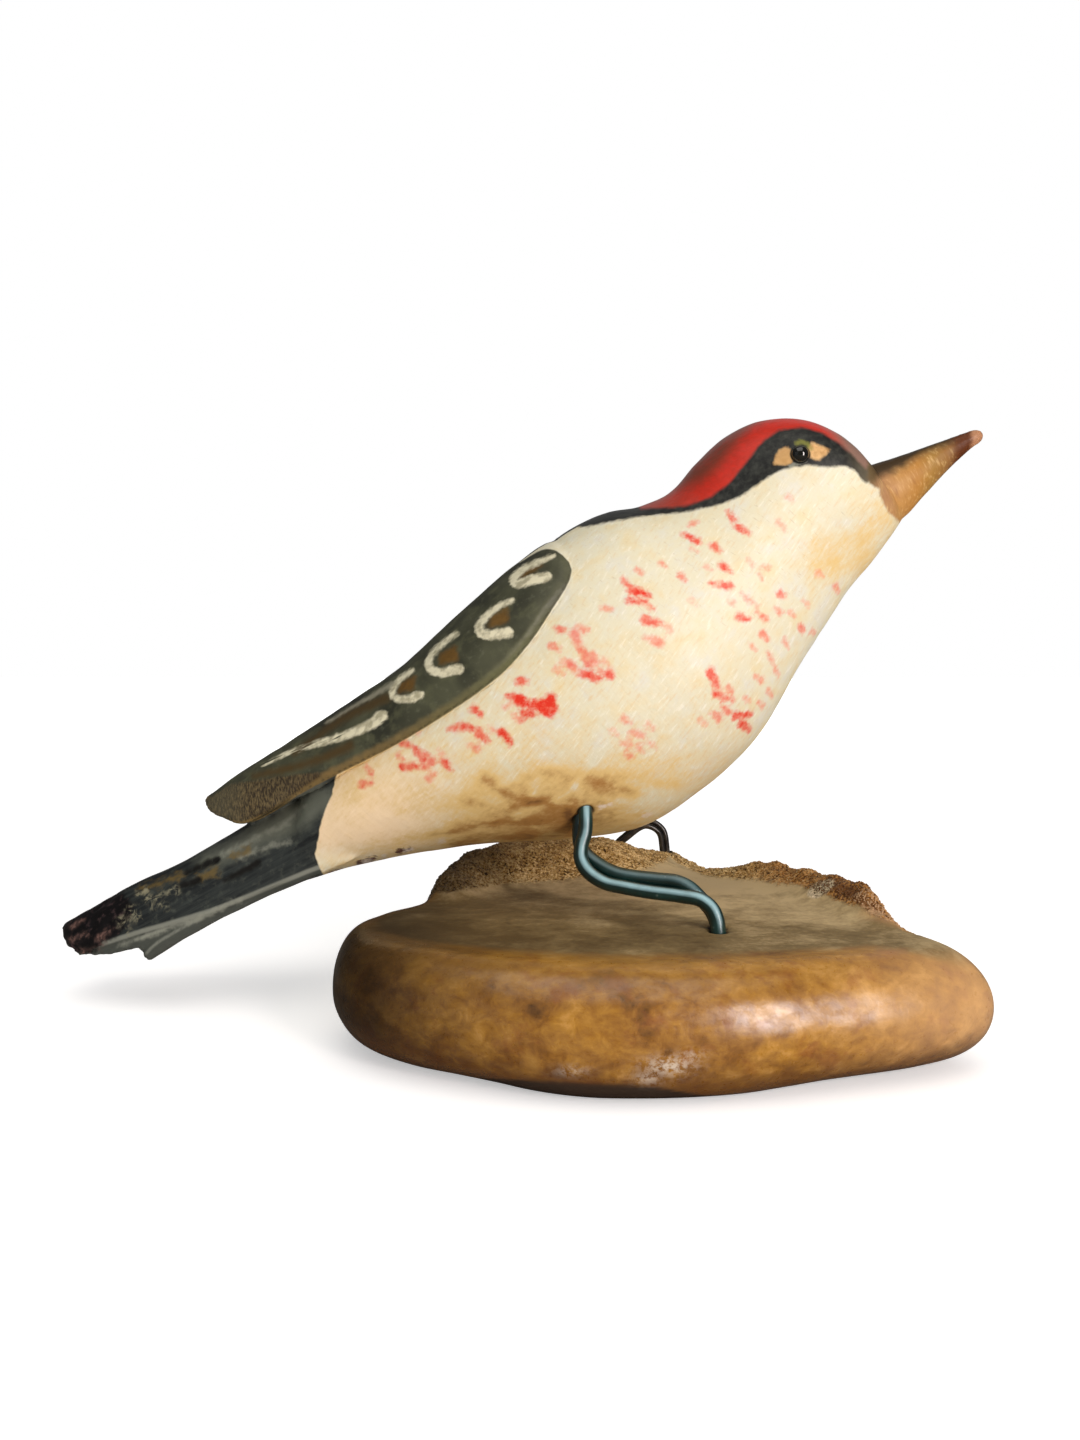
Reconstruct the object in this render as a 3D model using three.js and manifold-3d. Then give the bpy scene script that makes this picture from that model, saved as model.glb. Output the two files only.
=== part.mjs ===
// Carved and painted wooden woodpecker on two wire legs, set in a varnished burl slab.
// Millimetres. The bird faces +X, Y = 0 is its middle plane, Z = 0 is the flat underside of the slab.
import * as THREE from 'three';
import { mergeVertices } from 'three/addons/utils/BufferGeometryUtils.js';
import Module from 'manifold-3d';

const wasm = await Module();
wasm.setup();

// Driving sizes
const fitGap = 0.3;
const eyeRadius = 1.35;
const eyePlace = { x: 37.6, y: 11.6, z: 82.6 };
const nearWire = 2.0;
const farWire = 1.0;
const slabTop = 16;
const slabMiddle = 8;
const bodySides = 36;

// Body from rump to beak root: back and belly points [x, z], half width, height of the widest level
const bodyStations = [
  { back: [-36.0, 35.0], belly: [-38.0, 17.8], half: 8.6, widest: 0.48 },
  { back: [-29.5, 42.0], belly: [-30.0, 20.4], half: 11.6, widest: 0.48 },
  { back: [-20.4, 50.6], belly: [-20.0, 22.6], half: 15.0, widest: 0.48 },
  { back: [-11.2, 58.2], belly: [-9.0, 24.3], half: 17.6, widest: 0.47 },
  { back: [-3.4, 65.4], belly: [4.0, 25.0], half: 19.0, widest: 0.46 },
  { back: [2.5, 71.8], belly: [16.2, 27.1], half: 19.2, widest: 0.46 },
  { back: [9.6, 75.6], belly: [26.2, 33.6], half: 18.2, widest: 0.47 },
  { back: [15.2, 76.7], belly: [33.8, 41.0], half: 16.4, widest: 0.5 },
  { back: [20.0, 78.9], belly: [40.2, 51.8], half: 14.4, widest: 0.52 },
  { back: [24.0, 83.2], belly: [45.0, 59.4], half: 13.2, widest: 0.55 },
  { back: [28.2, 87.1], belly: [48.5, 64.7], half: 12.6, widest: 0.57 },
  { back: [33.4, 89.6], belly: [51.3, 68.0], half: 12.2, widest: 0.58 },
  { back: [39.3, 89.8], belly: [53.2, 70.6], half: 11.2, widest: 0.56 },
  { back: [44.2, 87.9], belly: [54.5, 72.4], half: 9.4, widest: 0.54 },
  { back: [47.3, 84.9], belly: [55.4, 73.7], half: 7.0, widest: 0.52 },
  { back: [48.9, 82.4], belly: [56.0, 74.6], half: 4.8, widest: 0.5 },
];

// Beak from inside the head to its blunt tip
const beakStations = [
  { back: [46.0, 81.6], belly: [52.4, 72.9], half: 4.6, widest: 0.5 },
  { back: [51.2, 83.2], belly: [56.5, 75.1], half: 4.4, widest: 0.5 },
  { back: [56.4, 84.9], belly: [60.1, 79.0], half: 3.3, widest: 0.5 },
  { back: [61.4, 86.6], belly: [63.6, 82.7], half: 2.2, widest: 0.5 },
  { back: [65.6, 88.1], belly: [66.8, 85.7], half: 1.35, widest: 0.5 },
  { back: [67.6, 88.7], belly: [68.2, 86.7], half: 1.1, widest: 0.5 },
  { back: [68.6, 88.2], belly: [68.8, 87.4], half: 0.5, widest: 0.5 },
];

// Both wings as one block from the tips to the shoulders, cut below to the wing outline
const wingStations = [
  { back: [-52.9, 31.4], belly: [-51.9, 26.5], half: 3.6, widest: 0.5 },
  { back: [-51.0, 32.6], belly: [-48.8, 23.5], half: 5.4, widest: 0.5 },
  { back: [-46.8, 35.6], belly: [-43.4, 20.0], half: 7.6, widest: 0.5 },
  { back: [-38.0, 41.1], belly: [-35.0, 18.5], half: 10.6, widest: 0.5 },
  { back: [-30.2, 46.2], belly: [-28.0, 20.0], half: 13.2, widest: 0.5 },
  { back: [-21.6, 52.1], belly: [-20.0, 22.3], half: 16.2, widest: 0.49 },
  { back: [-12.6, 60.2], belly: [-9.0, 23.5], half: 18.8, widest: 0.47 },
  { back: [-4.6, 67.2], belly: [4.0, 24.0], half: 20.2, widest: 0.46 },
  { back: [1.4, 71.4], belly: [16.5, 25.6], half: 20.4, widest: 0.46 },
  { back: [8.6, 74.4], belly: [26.6, 32.4], half: 19.4, widest: 0.47 },
];

// Wing outline in side view: shoulder, lower edge, tip
const wingEdge = [
  [-3, 75], [2.2, 71.4], [4.0, 68.0], [4.0, 64.6], [1.1, 59.7], [-1.5, 55.8], [-4.9, 51.9], [-8.7, 48.8],
  [-14.2, 45.1], [-20.1, 41.5], [-25.4, 38.7], [-30.4, 36.2], [-36.0, 33.2], [-40.7, 30.2], [-44.9, 28.2],
  [-48.4, 28.9], [-51.2, 29.9], [-52.8, 31.8],
];
const aboveWings = [[-56, 40], [-30, 62], [-8, 82]];
const wingPartingWidth = 1.6;
const wingPartingFrom = -44;

// Tail from inside the rump to the tip: ridge point [x, z], drop below the ridge, half width
const tailStations = [
  { ridge: [-26.0, 38.2], drop: 10.0, half: 6.4 },
  { ridge: [-34.0, 34.6], drop: 13.2, half: 8.8 },
  { ridge: [-42.0, 29.8], drop: 12.6, half: 9.4 },
  { ridge: [-50.0, 24.9], drop: 11.6, half: 9.5 },
  { ridge: [-57.0, 20.9], drop: 11.4, half: 9.6 },
  { ridge: [-64.5, 17.5], drop: 11.8, half: 9.6 },
  { ridge: [-70.0, 14.4], drop: 10.4, half: 8.4 },
  { ridge: [-74.2, 12.0], drop: 7.0, half: 5.6 },
  { ridge: [-76.0, 11.0], drop: 4.0, half: 2.6 },
];
const tailPitch = Math.atan2(25.8, 44.5);

// Tail outline in side view, with the step where the short outer feathers end
const tailEdge = [
  [-24, 19], [-33.6, 20.2], [-42, 16.9], [-48, 14.1], [-54.1, 10.7], [-58.9, 7.6], [-60.6, 9.6],
  [-66, 8.1], [-71.2, 7.4], [-74, 8.6], [-78, 10.5], [-78, 20], [-40, 44], [-24, 44],
];

// Points on a smooth curve through values given station by station
function curveThrough(points, closed = false) {
  const vectors = points.map((point) => new THREE.Vector3(point[0], point[1], point[2] ?? 0));
  return new THREE.CatmullRomCurve3(vectors, closed, 'catmullrom', 0.5);
}

// Closed body from rings of equal length, with a fan at each end
function loft(rings) {
  const count = rings[0].length;
  const points = rings.flat();
  const faces = [];
  for (let row = 0; row + 1 < rings.length; row += 1) {
    for (let side = 0; side < count; side += 1) {
      const a = row * count + side;
      const b = row * count + ((side + 1) % count);
      faces.push(a, b, b + count, a, b + count, a + count);
    }
  }
  const middle = points.length;
  const last = (rings.length - 1) * count;
  points.push(middleOf(rings[0]), middleOf(rings.at(-1)));
  for (let side = 0; side < count; side += 1) {
    const next = (side + 1) % count;
    faces.push(middle, next, side, middle + 1, last + side, last + next);
  }
  if (signedVolume(points, faces) < 0) faces.reverse();
  const geometry = new THREE.BufferGeometry().setFromPoints(points);
  geometry.setIndex(faces);
  return solidOf(geometry);
}

function middleOf(ring) {
  const sum = new THREE.Vector3();
  ring.forEach((point) => sum.add(point));
  return sum.divideScalar(ring.length);
}

function signedVolume(points, faces) {
  let sum = 0;
  const cross = new THREE.Vector3();
  for (let at = 0; at < faces.length; at += 3) {
    cross.crossVectors(points[faces[at + 1]], points[faces[at + 2]]);
    sum += points[faces[at]].dot(cross) / 6;
  }
  return sum;
}

function solidOf(geometry) {
  const plain = geometry.clone();
  plain.deleteAttribute('normal');
  plain.deleteAttribute('uv');
  const merged = mergeVertices(plain, 1e-4);
  const mesh = new wasm.Mesh({
    numProp: 3,
    vertProperties: new Float32Array(merged.attributes.position.array),
    triVerts: new Uint32Array(merged.index.array),
  });
  return new wasm.Manifold(mesh);
}

function geometryOf(solid) {
  const mesh = solid.getMesh();
  const geometry = new THREE.BufferGeometry();
  geometry.setAttribute('position', new THREE.BufferAttribute(new Float32Array(mesh.vertProperties), 3));
  geometry.setIndex(new THREE.BufferAttribute(new Uint32Array(mesh.triVerts), 1));
  return geometry;
}

function roundPower(value, power) {
  return Math.sign(value) * Math.abs(value) ** power;
}

// Egg-shaped section between a back point and a belly point
function eggRing(back, belly, half, widest, sides, fullness) {
  const ring = [];
  for (let side = 0; side < sides; side += 1) {
    const angle = (2 * Math.PI * side) / sides;
    const rise = roundPower(Math.cos(angle), 2 / fullness);
    const level = rise > 0 ? widest + (1 - widest) * rise : widest + widest * rise;
    const x = belly.x + (back.x - belly.x) * level;
    const z = belly.y + (back.y - belly.y) * level;
    ring.push(new THREE.Vector3(x, half * roundPower(Math.sin(angle), 2 / fullness), z));
  }
  return ring;
}

function eggLoft(stations, rows, sides, fullness) {
  const back = curveThrough(stations.map((station) => station.back));
  const belly = curveThrough(stations.map((station) => station.belly));
  const girth = curveThrough(stations.map((station) => [station.half, station.widest]));
  const rings = [];
  for (let row = 0; row <= rows; row += 1) {
    const u = row / rows;
    const { x, y } = girth.getPoint(u);
    rings.push(eggRing(back.getPoint(u), belly.getPoint(u), x, y, sides, fullness));
  }
  return loft(rings);
}

// Tail section: arched above and nearly flat below, square to the tail's own slope
function archRing(ridge, drop, half, sides) {
  const down = new THREE.Vector3(Math.sin(tailPitch), 0, -Math.cos(tailPitch));
  const ring = [];
  for (let side = 0; side < sides; side += 1) {
    const angle = (2 * Math.PI * side) / sides;
    const rise = Math.cos(angle);
    const depth = rise > 0 ? drop * (1 - rise ** 1.25) : drop * (1 + 0.06 * rise);
    const point = new THREE.Vector3(ridge.x, half * roundPower(Math.sin(angle), 0.9), ridge.y);
    ring.push(point.addScaledVector(down, depth));
  }
  return ring;
}

function archLoft(stations, rows, sides) {
  const ridge = curveThrough(stations.map((station) => station.ridge));
  const size = curveThrough(stations.map((station) => [station.drop, station.half]));
  const rings = [];
  for (let row = 0; row <= rows; row += 1) {
    const { x, y } = size.getPoint(row / rows);
    rings.push(archRing(ridge.getPoint(row / rows), x, y, sides));
  }
  return loft(rings);
}

function ballAt(place, hand, radius) {
  const geometry = new THREE.SphereGeometry(radius, 14, 8);
  return solidOf(geometry.translate(place.x, hand * place.y, place.z));
}

// Plate cut to a side-view outline and reaching across the bird
function sidePlate(outline) {
  const shape = new THREE.Shape(outline.map(([x, z]) => new THREE.Vector2(x, z)));
  const geometry = new THREE.ExtrudeGeometry(shape, { depth: 60, bevelEnabled: false });
  return solidOf(geometry.rotateX(Math.PI / 2).translate(0, 30, 0));
}

// Round bar along a smooth route
function barAlong(route, thickness) {
  const section = new THREE.Shape();
  section.absarc(0, 0, thickness / 2, 0, 2 * Math.PI);
  const extrudePath = new THREE.CatmullRomCurve3(route.map((point) => new THREE.Vector3(...point)));
  return solidOf(new THREE.ExtrudeGeometry(section, { steps: 20, curveSegments: 5, extrudePath }));
}

// Bird, carved from one block
function wingSolid() {
  const edge = curveThrough(wingEdge).getPoints(36).map((point) => [point.x, point.y]);
  const block = eggLoft(wingStations, 20, bodySides, 2.15);
  const parting = new THREE.Shape([
    new THREE.Vector2(wingPartingFrom, 0),
    new THREE.Vector2(-60, wingPartingWidth),
    new THREE.Vector2(-60, -wingPartingWidth),
  ]);
  const slot = new THREE.ExtrudeGeometry(parting, { depth: 30, bevelEnabled: false });
  return block.intersect(sidePlate([...edge, ...aboveWings])).subtract(solidOf(slot.translate(0, 0, 20)));
}

function tailSolid() {
  return archLoft(tailStations, 14, 24).intersect(sidePlate(tailEdge));
}

function birdSolid(cuts) {
  const body = eggLoft(bodyStations, 34, bodySides, 2.1);
  const beak = eggLoft(beakStations, 10, 14, 2);
  const carved = body.add(beak).add(tailSolid()).add(wingSolid());
  return cuts.reduce((bird, cut) => bird.subtract(cut), carved);
}

// Leg wires: each is a doubled wire whose two strands part along the foot and meet again
const nearFront = [
  [6.3, -11.0, 35.0], [6.6, -14.3, 31.0], [6.5, -15.3, 28.3], [5.9, -16.0, 26.2], [5.9, -16.7, 24.5],
  [6.9, -17.5, 22.9], [9.1, -18.4, 21.6], [11.9, -19.3, 21.1], [15.5, -20.2, 20.65], [19.3, -21.2, 20.35],
  [22.1, -22.0, 19.95], [23.6, -22.6, 18.9], [24.3, -23.1, 17.4], [24.5, -23.4, 15.6], [24.5, -23.5, 10.5],
];
const nearRear = [
  [6.1, -9.8, 35.0], [5.9, -12.8, 30.4], [5.7, -13.4, 28.0], [5.9, -13.9, 26.2], [6.5, -14.5, 25.1],
  [8.0, -15.6, 24.0], [10.6, -17.3, 22.9], [13.1, -18.2, 22.6], [16.3, -19.1, 22.5], [19.2, -19.9, 22.25],
  [20.9, -20.4, 21.4], [22.4, -20.9, 19.9], [23.9, -21.4, 18.1], [24.7, -21.8, 15.6], [24.7, -21.9, 10.5],
];
const farFront = [
  [6.2, 10.5, 35.0], [6.4, 14.2, 29.8], [6.8, 18.8, 23.4], [8.8, 22.0, 19.3], [12.4, 23.2, 18.4],
  [15.4, 23.2, 20.9], [18.9, 23.2, 23.2], [21.3, 23.4, 22.1], [22.0, 23.6, 19.4], [22.1, 23.8, 10.5],
];
const farRear = [
  [6.9, 10.0, 35.0], [7.2, 13.4, 30.2], [7.6, 18.4, 24.4], [9.4, 22.7, 20.2], [12.6, 24.3, 18.9],
  [14.8, 24.5, 20.8], [19.4, 24.0, 24.0], [22.1, 24.0, 22.6], [22.9, 24.0, 19.4], [22.9, 24.1, 10.5],
];

function wirePair(routes, thickness) {
  return routes.map((route) => barAlong(route, thickness)).reduce((pair, bar) => pair.add(bar));
}

// Room for a wire pair, deeper than the wire at both ends
function wireRoom(routes, thickness) {
  const longer = routes.map((route) => {
    const [top, foot] = [route[0], route.at(-1)];
    return [[top[0], top[1], top[2] + 0.5], ...route.slice(1, -1), [foot[0], foot[1], foot[2] - 0.5]];
  });
  return wirePair(longer, thickness + 2 * fitGap);
}

// Slab outline at its widest level, seen from above: x, y, rounding above and below
const slabStations = [
  [-28.8, -21, 5, 10], [-25.2, -32.0, 6, 10], [-14, -40.0, 7, 9], [4, -45.7, 7, 5.5], [22, -45.6, 7, 5.5],
  [40, -41.6, 7, 9], [53, -37.2, 8, 11], [59.0, -31.2, 10, 10], [53.6, -21.7, 10, 9], [51.0, -13, 3.5, 6],
  [47.5, -1, 3, 4], [42.4, 10, 3, 4], [33.6, 18.6, 3, 4], [25, 27.4, 3, 4], [12, 30, 3, 4], [0, 27.5, 3, 4],
  [-10.6, 18, 3, 4], [-16.8, 7, 3, 4], [-20, -5, 4, 6], [-26.6, -13.5, 5, 8],
];

// Crests of the broken rim at the back: x, y, rise above the flat top, width of the crest
const rimCrests = [
  [
    [-14.2, -0.5, 3.4, 4], [-11, 7, 5.6, 6], [-4, 13.2, 6.3, 8], [5, 15.8, 6.2, 9], [11, 16.4, 6.1, 9],
    [17, 19, 3.8, 7], [23, 25, 2.4, 5],
  ],
  [
    [32.6, 16, 0.9, 4], [37.5, 12, 3.0, 4], [42, 5, 3.1, 4], [45.4, -4, 3.6, 4], [48.2, -12, 3.9, 4],
    [49.8, -18.8, 3.0, 3],
  ],
];
const crestFall = 4.2;

function slabHeight(x, y) {
  let rise = 0;
  for (const crest of rimCrests) {
    for (let at = 0; at + 1 < crest.length; at += 1) {
      rise = Math.max(rise, crestRise(x, y, crest[at], crest[at + 1]));
    }
  }
  const lumps = 0.2 * Math.sin(x * 0.9 + y * 0.4) * Math.sin(y * 0.8 - x * 0.3);
  return slabTop + rise + lumps * Math.min(1, rise / 3);
}

function crestRise(x, y, from, to) {
  const run = [to[0] - from[0], to[1] - from[1]];
  const along = ((x - from[0]) * run[0] + (y - from[1]) * run[1]) / (run[0] ** 2 + run[1] ** 2);
  const share = Math.min(1, Math.max(0, along));
  const gap = Math.hypot(x - from[0] - share * run[0], y - from[1] - share * run[1]);
  const outside = run[0] * (y - from[1]) - run[1] * (x - from[0]) > 0;
  const width = outside ? crestFall : from[3] + share * (to[3] - from[3]);
  return (from[2] + share * (to[2] - from[2])) * Math.exp(-((gap / width) ** 2));
}

function slabSolid(cuts) {
  const edge = curveThrough(slabStations, true);
  const rounding = curveThrough(slabStations.map((station) => [station[2], station[3]]), true);
  const sides = 48;
  const rollRows = 8;
  const innerShares = [0.93, 0.86, 0.78, 0.68, 0.56, 0.42, 0.22];
  const heart = new THREE.Vector3(14, -8, 0);
  const rings = [];
  for (let row = 0; row <= rollRows; row += 1) {
    const turn = Math.PI * (row / rollRows - 0.5);
    rings.push(slabRing(edge, rounding, heart, sides, turn, 1));
  }
  for (const share of innerShares) {
    rings.push(slabRing(edge, rounding, heart, sides, Math.PI / 2, share));
  }
  return cuts.reduce((slab, cut) => slab.subtract(cut), loft(rings));
}

function slabRing(edge, rounding, heart, sides, turn, share) {
  const ring = [];
  for (let side = 0; side < sides; side += 1) {
    const rim = edge.getPoint(side / sides).setZ(0);
    const round = rounding.getPoint(side / sides);
    const inset = (turn > 0 ? round.x : round.y) * (1 - Math.cos(turn));
    const inward = heart.clone().sub(rim).normalize();
    const point = rim.addScaledVector(inward, inset).sub(heart).multiplyScalar(share).add(heart);
    const reach = turn > 0 ? slabHeight(point.x, point.y) - slabMiddle : slabMiddle;
    ring.push(point.setZ(slabMiddle + reach * Math.sin(turn)));
  }
  return ring;
}

// Pieces
function piece(name, solid, color, roughness, metalness) {
  const material = new THREE.MeshStandardMaterial({ color, roughness, metalness });
  const mesh = new THREE.Mesh(geometryOf(solid), material);
  mesh.name = name;
  return mesh;
}

const wireHoles = [wireRoom([nearFront, nearRear], nearWire), wireRoom([farFront, farRear], farWire)];
const eyeSockets = [-1, 1].map((hand) => ballAt(eyePlace, hand, eyeRadius + fitGap));

const group = new THREE.Group();
group.add(piece('bird', birdSolid([...wireHoles, ...eyeSockets]), 0xd9c3a0, 0.6, 0));
group.add(piece('eye_right', ballAt(eyePlace, -1, eyeRadius), 0x0b0b0c, 0.1, 0));
group.add(piece('eye_left', ballAt(eyePlace, 1, eyeRadius), 0x0b0b0c, 0.1, 0));
group.add(piece('leg_wire_right', wirePair([nearFront, nearRear], nearWire), 0x2c5a52, 0.3, 0));
group.add(piece('leg_wire_left', wirePair([farFront, farRear], farWire), 0x3a3b3e, 0.3, 0.6));
group.add(piece('base', slabSolid(wireHoles), 0x8a5a2b, 0.35, 0));

export default group;
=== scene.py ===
import bpy
import numpy as np
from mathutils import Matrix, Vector
from mathutils.bvhtree import BVHTree


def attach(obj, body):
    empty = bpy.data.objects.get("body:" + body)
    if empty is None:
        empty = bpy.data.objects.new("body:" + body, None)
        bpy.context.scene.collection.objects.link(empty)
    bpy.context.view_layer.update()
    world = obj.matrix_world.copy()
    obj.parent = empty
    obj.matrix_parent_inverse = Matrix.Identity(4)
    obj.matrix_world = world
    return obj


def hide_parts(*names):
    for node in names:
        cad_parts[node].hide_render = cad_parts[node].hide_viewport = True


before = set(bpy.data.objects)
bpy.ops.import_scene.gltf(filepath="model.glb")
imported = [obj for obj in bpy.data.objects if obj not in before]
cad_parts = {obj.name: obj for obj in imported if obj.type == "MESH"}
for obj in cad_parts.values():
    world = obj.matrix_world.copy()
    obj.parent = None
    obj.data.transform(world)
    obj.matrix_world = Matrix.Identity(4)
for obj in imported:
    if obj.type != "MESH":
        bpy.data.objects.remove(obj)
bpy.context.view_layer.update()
scene = bpy.context.scene
mm = 0.001

# Camera: a phone held close, level with the bird's breast
camera = {
    "place": (0.0, -0.170, 0.053),
    "pitch": 3.17,  # degrees below level
    "focal": 1082.0,  # pixels on the 1440 side
    "wide": 1080,
    "high": 1440,
    "sensor": 36.0,
    "nearest": 0.01,
}
pixelSize = 0.147  # millimetres across a photograph's pixel at the bird

pitch = np.radians(camera["pitch"])
forward = np.array([0.0, np.cos(pitch), -np.sin(pitch)])
upward = np.array([0.0, np.sin(pitch), np.cos(pitch)])
eyePoint = np.array(camera["place"])


def addItem(name, data, place=(0, 0, 0)):
    item = bpy.data.objects.new(name, data)
    item.location = place
    scene.collection.objects.link(item)
    return item


def makeCamera():
    lens = bpy.data.cameras.new("view")
    lens.sensor_width = camera["sensor"]
    lens.lens = camera["sensor"] * camera["focal"] / camera["high"]
    lens.clip_start = camera["nearest"]
    scene.camera = addItem("view", lens, camera["place"])
    scene.camera.rotation_euler = (np.pi / 2 - pitch, 0, 0)


def pixelOf(points):  # where points show in the photograph's frame
    offset = points - eyePoint
    depth = offset @ forward
    u = camera["wide"] / 2 + camera["focal"] * offset[:, 0] / depth
    v = camera["high"] / 2 - camera["focal"] * (offset @ upward) / depth
    return u, v


def nearPixelOf(points):  # the same, with the far side folded onto the near one
    return pixelOf(np.stack([points[:, 0], -np.abs(points[:, 1]), points[:, 2]], 1))


def rayAt(u, v):
    side = (u - camera["wide"] / 2) / camera["focal"]
    lift = (camera["high"] / 2 - v) / camera["focal"]
    return Vector(forward + upward * lift + np.array([side, 0, 0])).normalized()


# Mesh helpers
def meshItem(name, points, faces, edges=()):
    mesh = bpy.data.meshes.new(name)
    mesh.from_pydata(np.asarray(points, float).tolist(), list(edges), faces)
    smoothFaces(mesh)
    mesh.update()
    return addItem(name, mesh)


def smoothFaces(mesh):
    mesh.polygons.foreach_set("use_smooth", [True] * len(mesh.polygons))


def settle(item):  # keeps what the modifiers give as a plain mesh
    bpy.context.view_layer.update()
    evaluated = item.evaluated_get(bpy.context.evaluated_depsgraph_get())
    finished = bpy.data.meshes.new_from_object(evaluated)
    item.modifiers.clear()
    item.data = finished
    smoothFaces(finished)


def carve(item, tool, action):
    step = item.modifiers.new("carve", "BOOLEAN")
    step.operation = action
    step.solver = "MANIFOLD"
    step.object = tool
    settle(item)
    bpy.data.objects.remove(tool)


def readVectors(values, field):
    flat = np.zeros(len(values) * 3, np.float32)
    values.foreach_get(field, flat)
    return flat.reshape(-1, 3).astype(float)


def pointsOf(item):
    return readVectors(item.data.vertices, "co")


def normalsOf(item):
    return readVectors(item.data.vertex_normals, "vector")


def surfaceOf(item):  # to find the nearest place on a piece, or where a ray lands on it
    return BVHTree.FromPolygons(
        [vertex.co for vertex in item.data.vertices], [face.vertices[:] for face in item.data.polygons])


def setPoints(item, points):
    item.data.vertices.foreach_set("co", points.astype(np.float32).ravel())
    item.data.update()


def setLayer(item, name, values):
    layer = item.data.attributes.new(name, "FLOAT", "POINT")
    layer.data.foreach_set("value", values.astype(np.float32))


def finishPiece(item, nodeNames):
    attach(item, "root")
    if nodeNames:
        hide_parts(*nodeNames)


# Curves and lofts, in millimetres until the mesh is made
def curveThrough(points, shares, closed=False):
    points = np.array(points, float)
    count = len(points)
    shares = np.asarray(shares, float)
    if closed:
        place = np.mod(shares, 1.0) * count
        step = np.floor(place).astype(int)
        before, start, end, after = (points[(step + shift) % count] for shift in (-1, 0, 1, 2))
    else:
        place = shares * (count - 1)
        step = np.clip(np.floor(place).astype(int), 0, count - 2)
        longer = np.vstack([2 * points[0] - points[1], points, 2 * points[-1] - points[-2]])
        before, start, end, after = (longer[step + shift] for shift in range(4))
    t = (place - step)[:, None]
    leave = (end - before) / 2
    arrive = (after - start) / 2
    bend = 3 * (end - start) - 2 * leave - arrive
    twist = 2 * (start - end) + leave + arrive
    return start + leave * t + bend * t ** 2 + twist * t ** 3


def roundPower(value, power):
    return np.sign(value) * np.abs(value) ** power


def loftItem(name, rings):
    rows, sides = rings.shape[:2]
    points = np.vstack([rings.reshape(-1, 3), rings[0].mean(0), rings[-1].mean(0)])
    row, side = np.meshgrid(np.arange(rows - 1), np.arange(sides), indexing="ij")
    first = (row * sides + side).ravel()
    second = (row * sides + (side + 1) % sides).ravel()
    faces = np.stack([first, second, second + sides, first + sides], 1).tolist()
    around = np.arange(sides)
    onward = (around + 1) % sides
    last = (rows - 1) * sides
    faces += np.stack([np.full(sides, rows * sides), onward, around], 1).tolist()
    faces += np.stack([np.full(sides, rows * sides + 1), last + around, last + onward], 1).tolist()
    a, b, c = (rings[:-1, :], np.roll(rings, -1, 1)[:-1, :], rings[1:, :])
    if np.sum(a * np.cross(b, c)) < 0:  # turned so that faces point outwards
        faces = [face[::-1] for face in faces]
    return meshItem(name, points * mm, faces)


def eggRings(stations, rows, sides, fullness):
    shares = np.linspace(0, 1, rows)
    back = curveThrough([s[0] for s in stations], shares)
    belly = curveThrough([s[1] for s in stations], shares)
    girth = curveThrough([s[2:] for s in stations], shares)
    angle = np.arange(sides) * 2 * np.pi / sides
    rise = roundPower(np.cos(angle), 2 / fullness)[None, :]
    across = roundPower(np.sin(angle), 2 / fullness)[None, :]
    half, widest = girth[:, :1], girth[:, 1:]
    level = np.where(rise > 0, widest + (1 - widest) * rise, widest + widest * rise)
    x = belly[:, :1] + (back[:, :1] - belly[:, :1]) * level
    z = belly[:, 1:] + (back[:, 1:] - belly[:, 1:]) * level
    return np.stack([x, half * across, z], 2)


def archRings(stations, rows, sides, slope, crown, sag, squareness):
    shares = np.linspace(0, 1, rows)
    ridge = curveThrough([s[0] for s in stations], shares)
    size = curveThrough([s[1:] for s in stations], shares)
    angle = np.arange(sides) * 2 * np.pi / sides
    rise = np.cos(angle)[None, :]
    drop, half = size[:, :1], size[:, 1:]
    above = 1 - np.maximum(rise, 0) ** crown
    depth = drop * np.where(rise > 0, above, 1 + sag * rise)
    x = ridge[:, :1] + depth * np.sin(slope)
    z = ridge[:, 1:] - depth * np.cos(slope)
    return np.stack([x, half * roundPower(np.sin(angle), squareness)[None, :], z], 2)


def sidePlate(name, outline, reach):  # plate with a side-view outline, reaching across the bird
    count = len(outline)
    near = [[x * mm, -reach * mm, z * mm] for x, z in outline]
    far = [[x * mm, reach * mm, z * mm] for x, z in outline]
    walls = [[at, (at + 1) % count, (at + 1) % count + count, at + count] for at in range(count)]
    return closedItem(name, near + far, walls + [list(range(count))[::-1], list(range(count, 2 * count))])


def closedItem(name, points, faces):
    item = meshItem(name, points, faces)
    volume = 0.0
    for face in item.data.polygons:
        volume += face.center.dot(face.normal) * face.area
    if volume < 0:
        item.data.flip_normals()
    return item


# Smooth random values from -1 to 1 with features of one size in metres
scrambler = {
    "axes": (73856093, 19349663, 83492791),  # large primes, so that each cell of space has its own value
    "seed": 7919,
    "shift": 13,
    "turn": 60493,
    "lift": 19990303,
    "span": 0xFFFFFF,
    "half": 0x7FFFFF,
    "seedGap": 13.7,  # cells from one seed to the next
}


def softNoise(points, size, seed):
    cell = points / size + seed * scrambler["seedGap"]
    corner = np.floor(cell).astype(np.int64)
    part = cell - corner
    part = part * part * (3 - 2 * part)
    total = np.zeros(len(points))
    for shift in np.ndindex(2, 2, 2):
        across, deep, high = ((corner + np.array(shift)) * np.array(scrambler["axes"])).T
        mixed = across ^ deep ^ high ^ (seed * scrambler["seed"])
        mixed = (mixed ^ (mixed >> scrambler["shift"])) * scrambler["turn"] + scrambler["lift"]
        weight = np.prod(np.where(np.array(shift) == 1, part, 1 - part), axis=1)
        total += weight * ((mixed & scrambler["span"]) / scrambler["half"] - 1)
    return total


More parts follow.
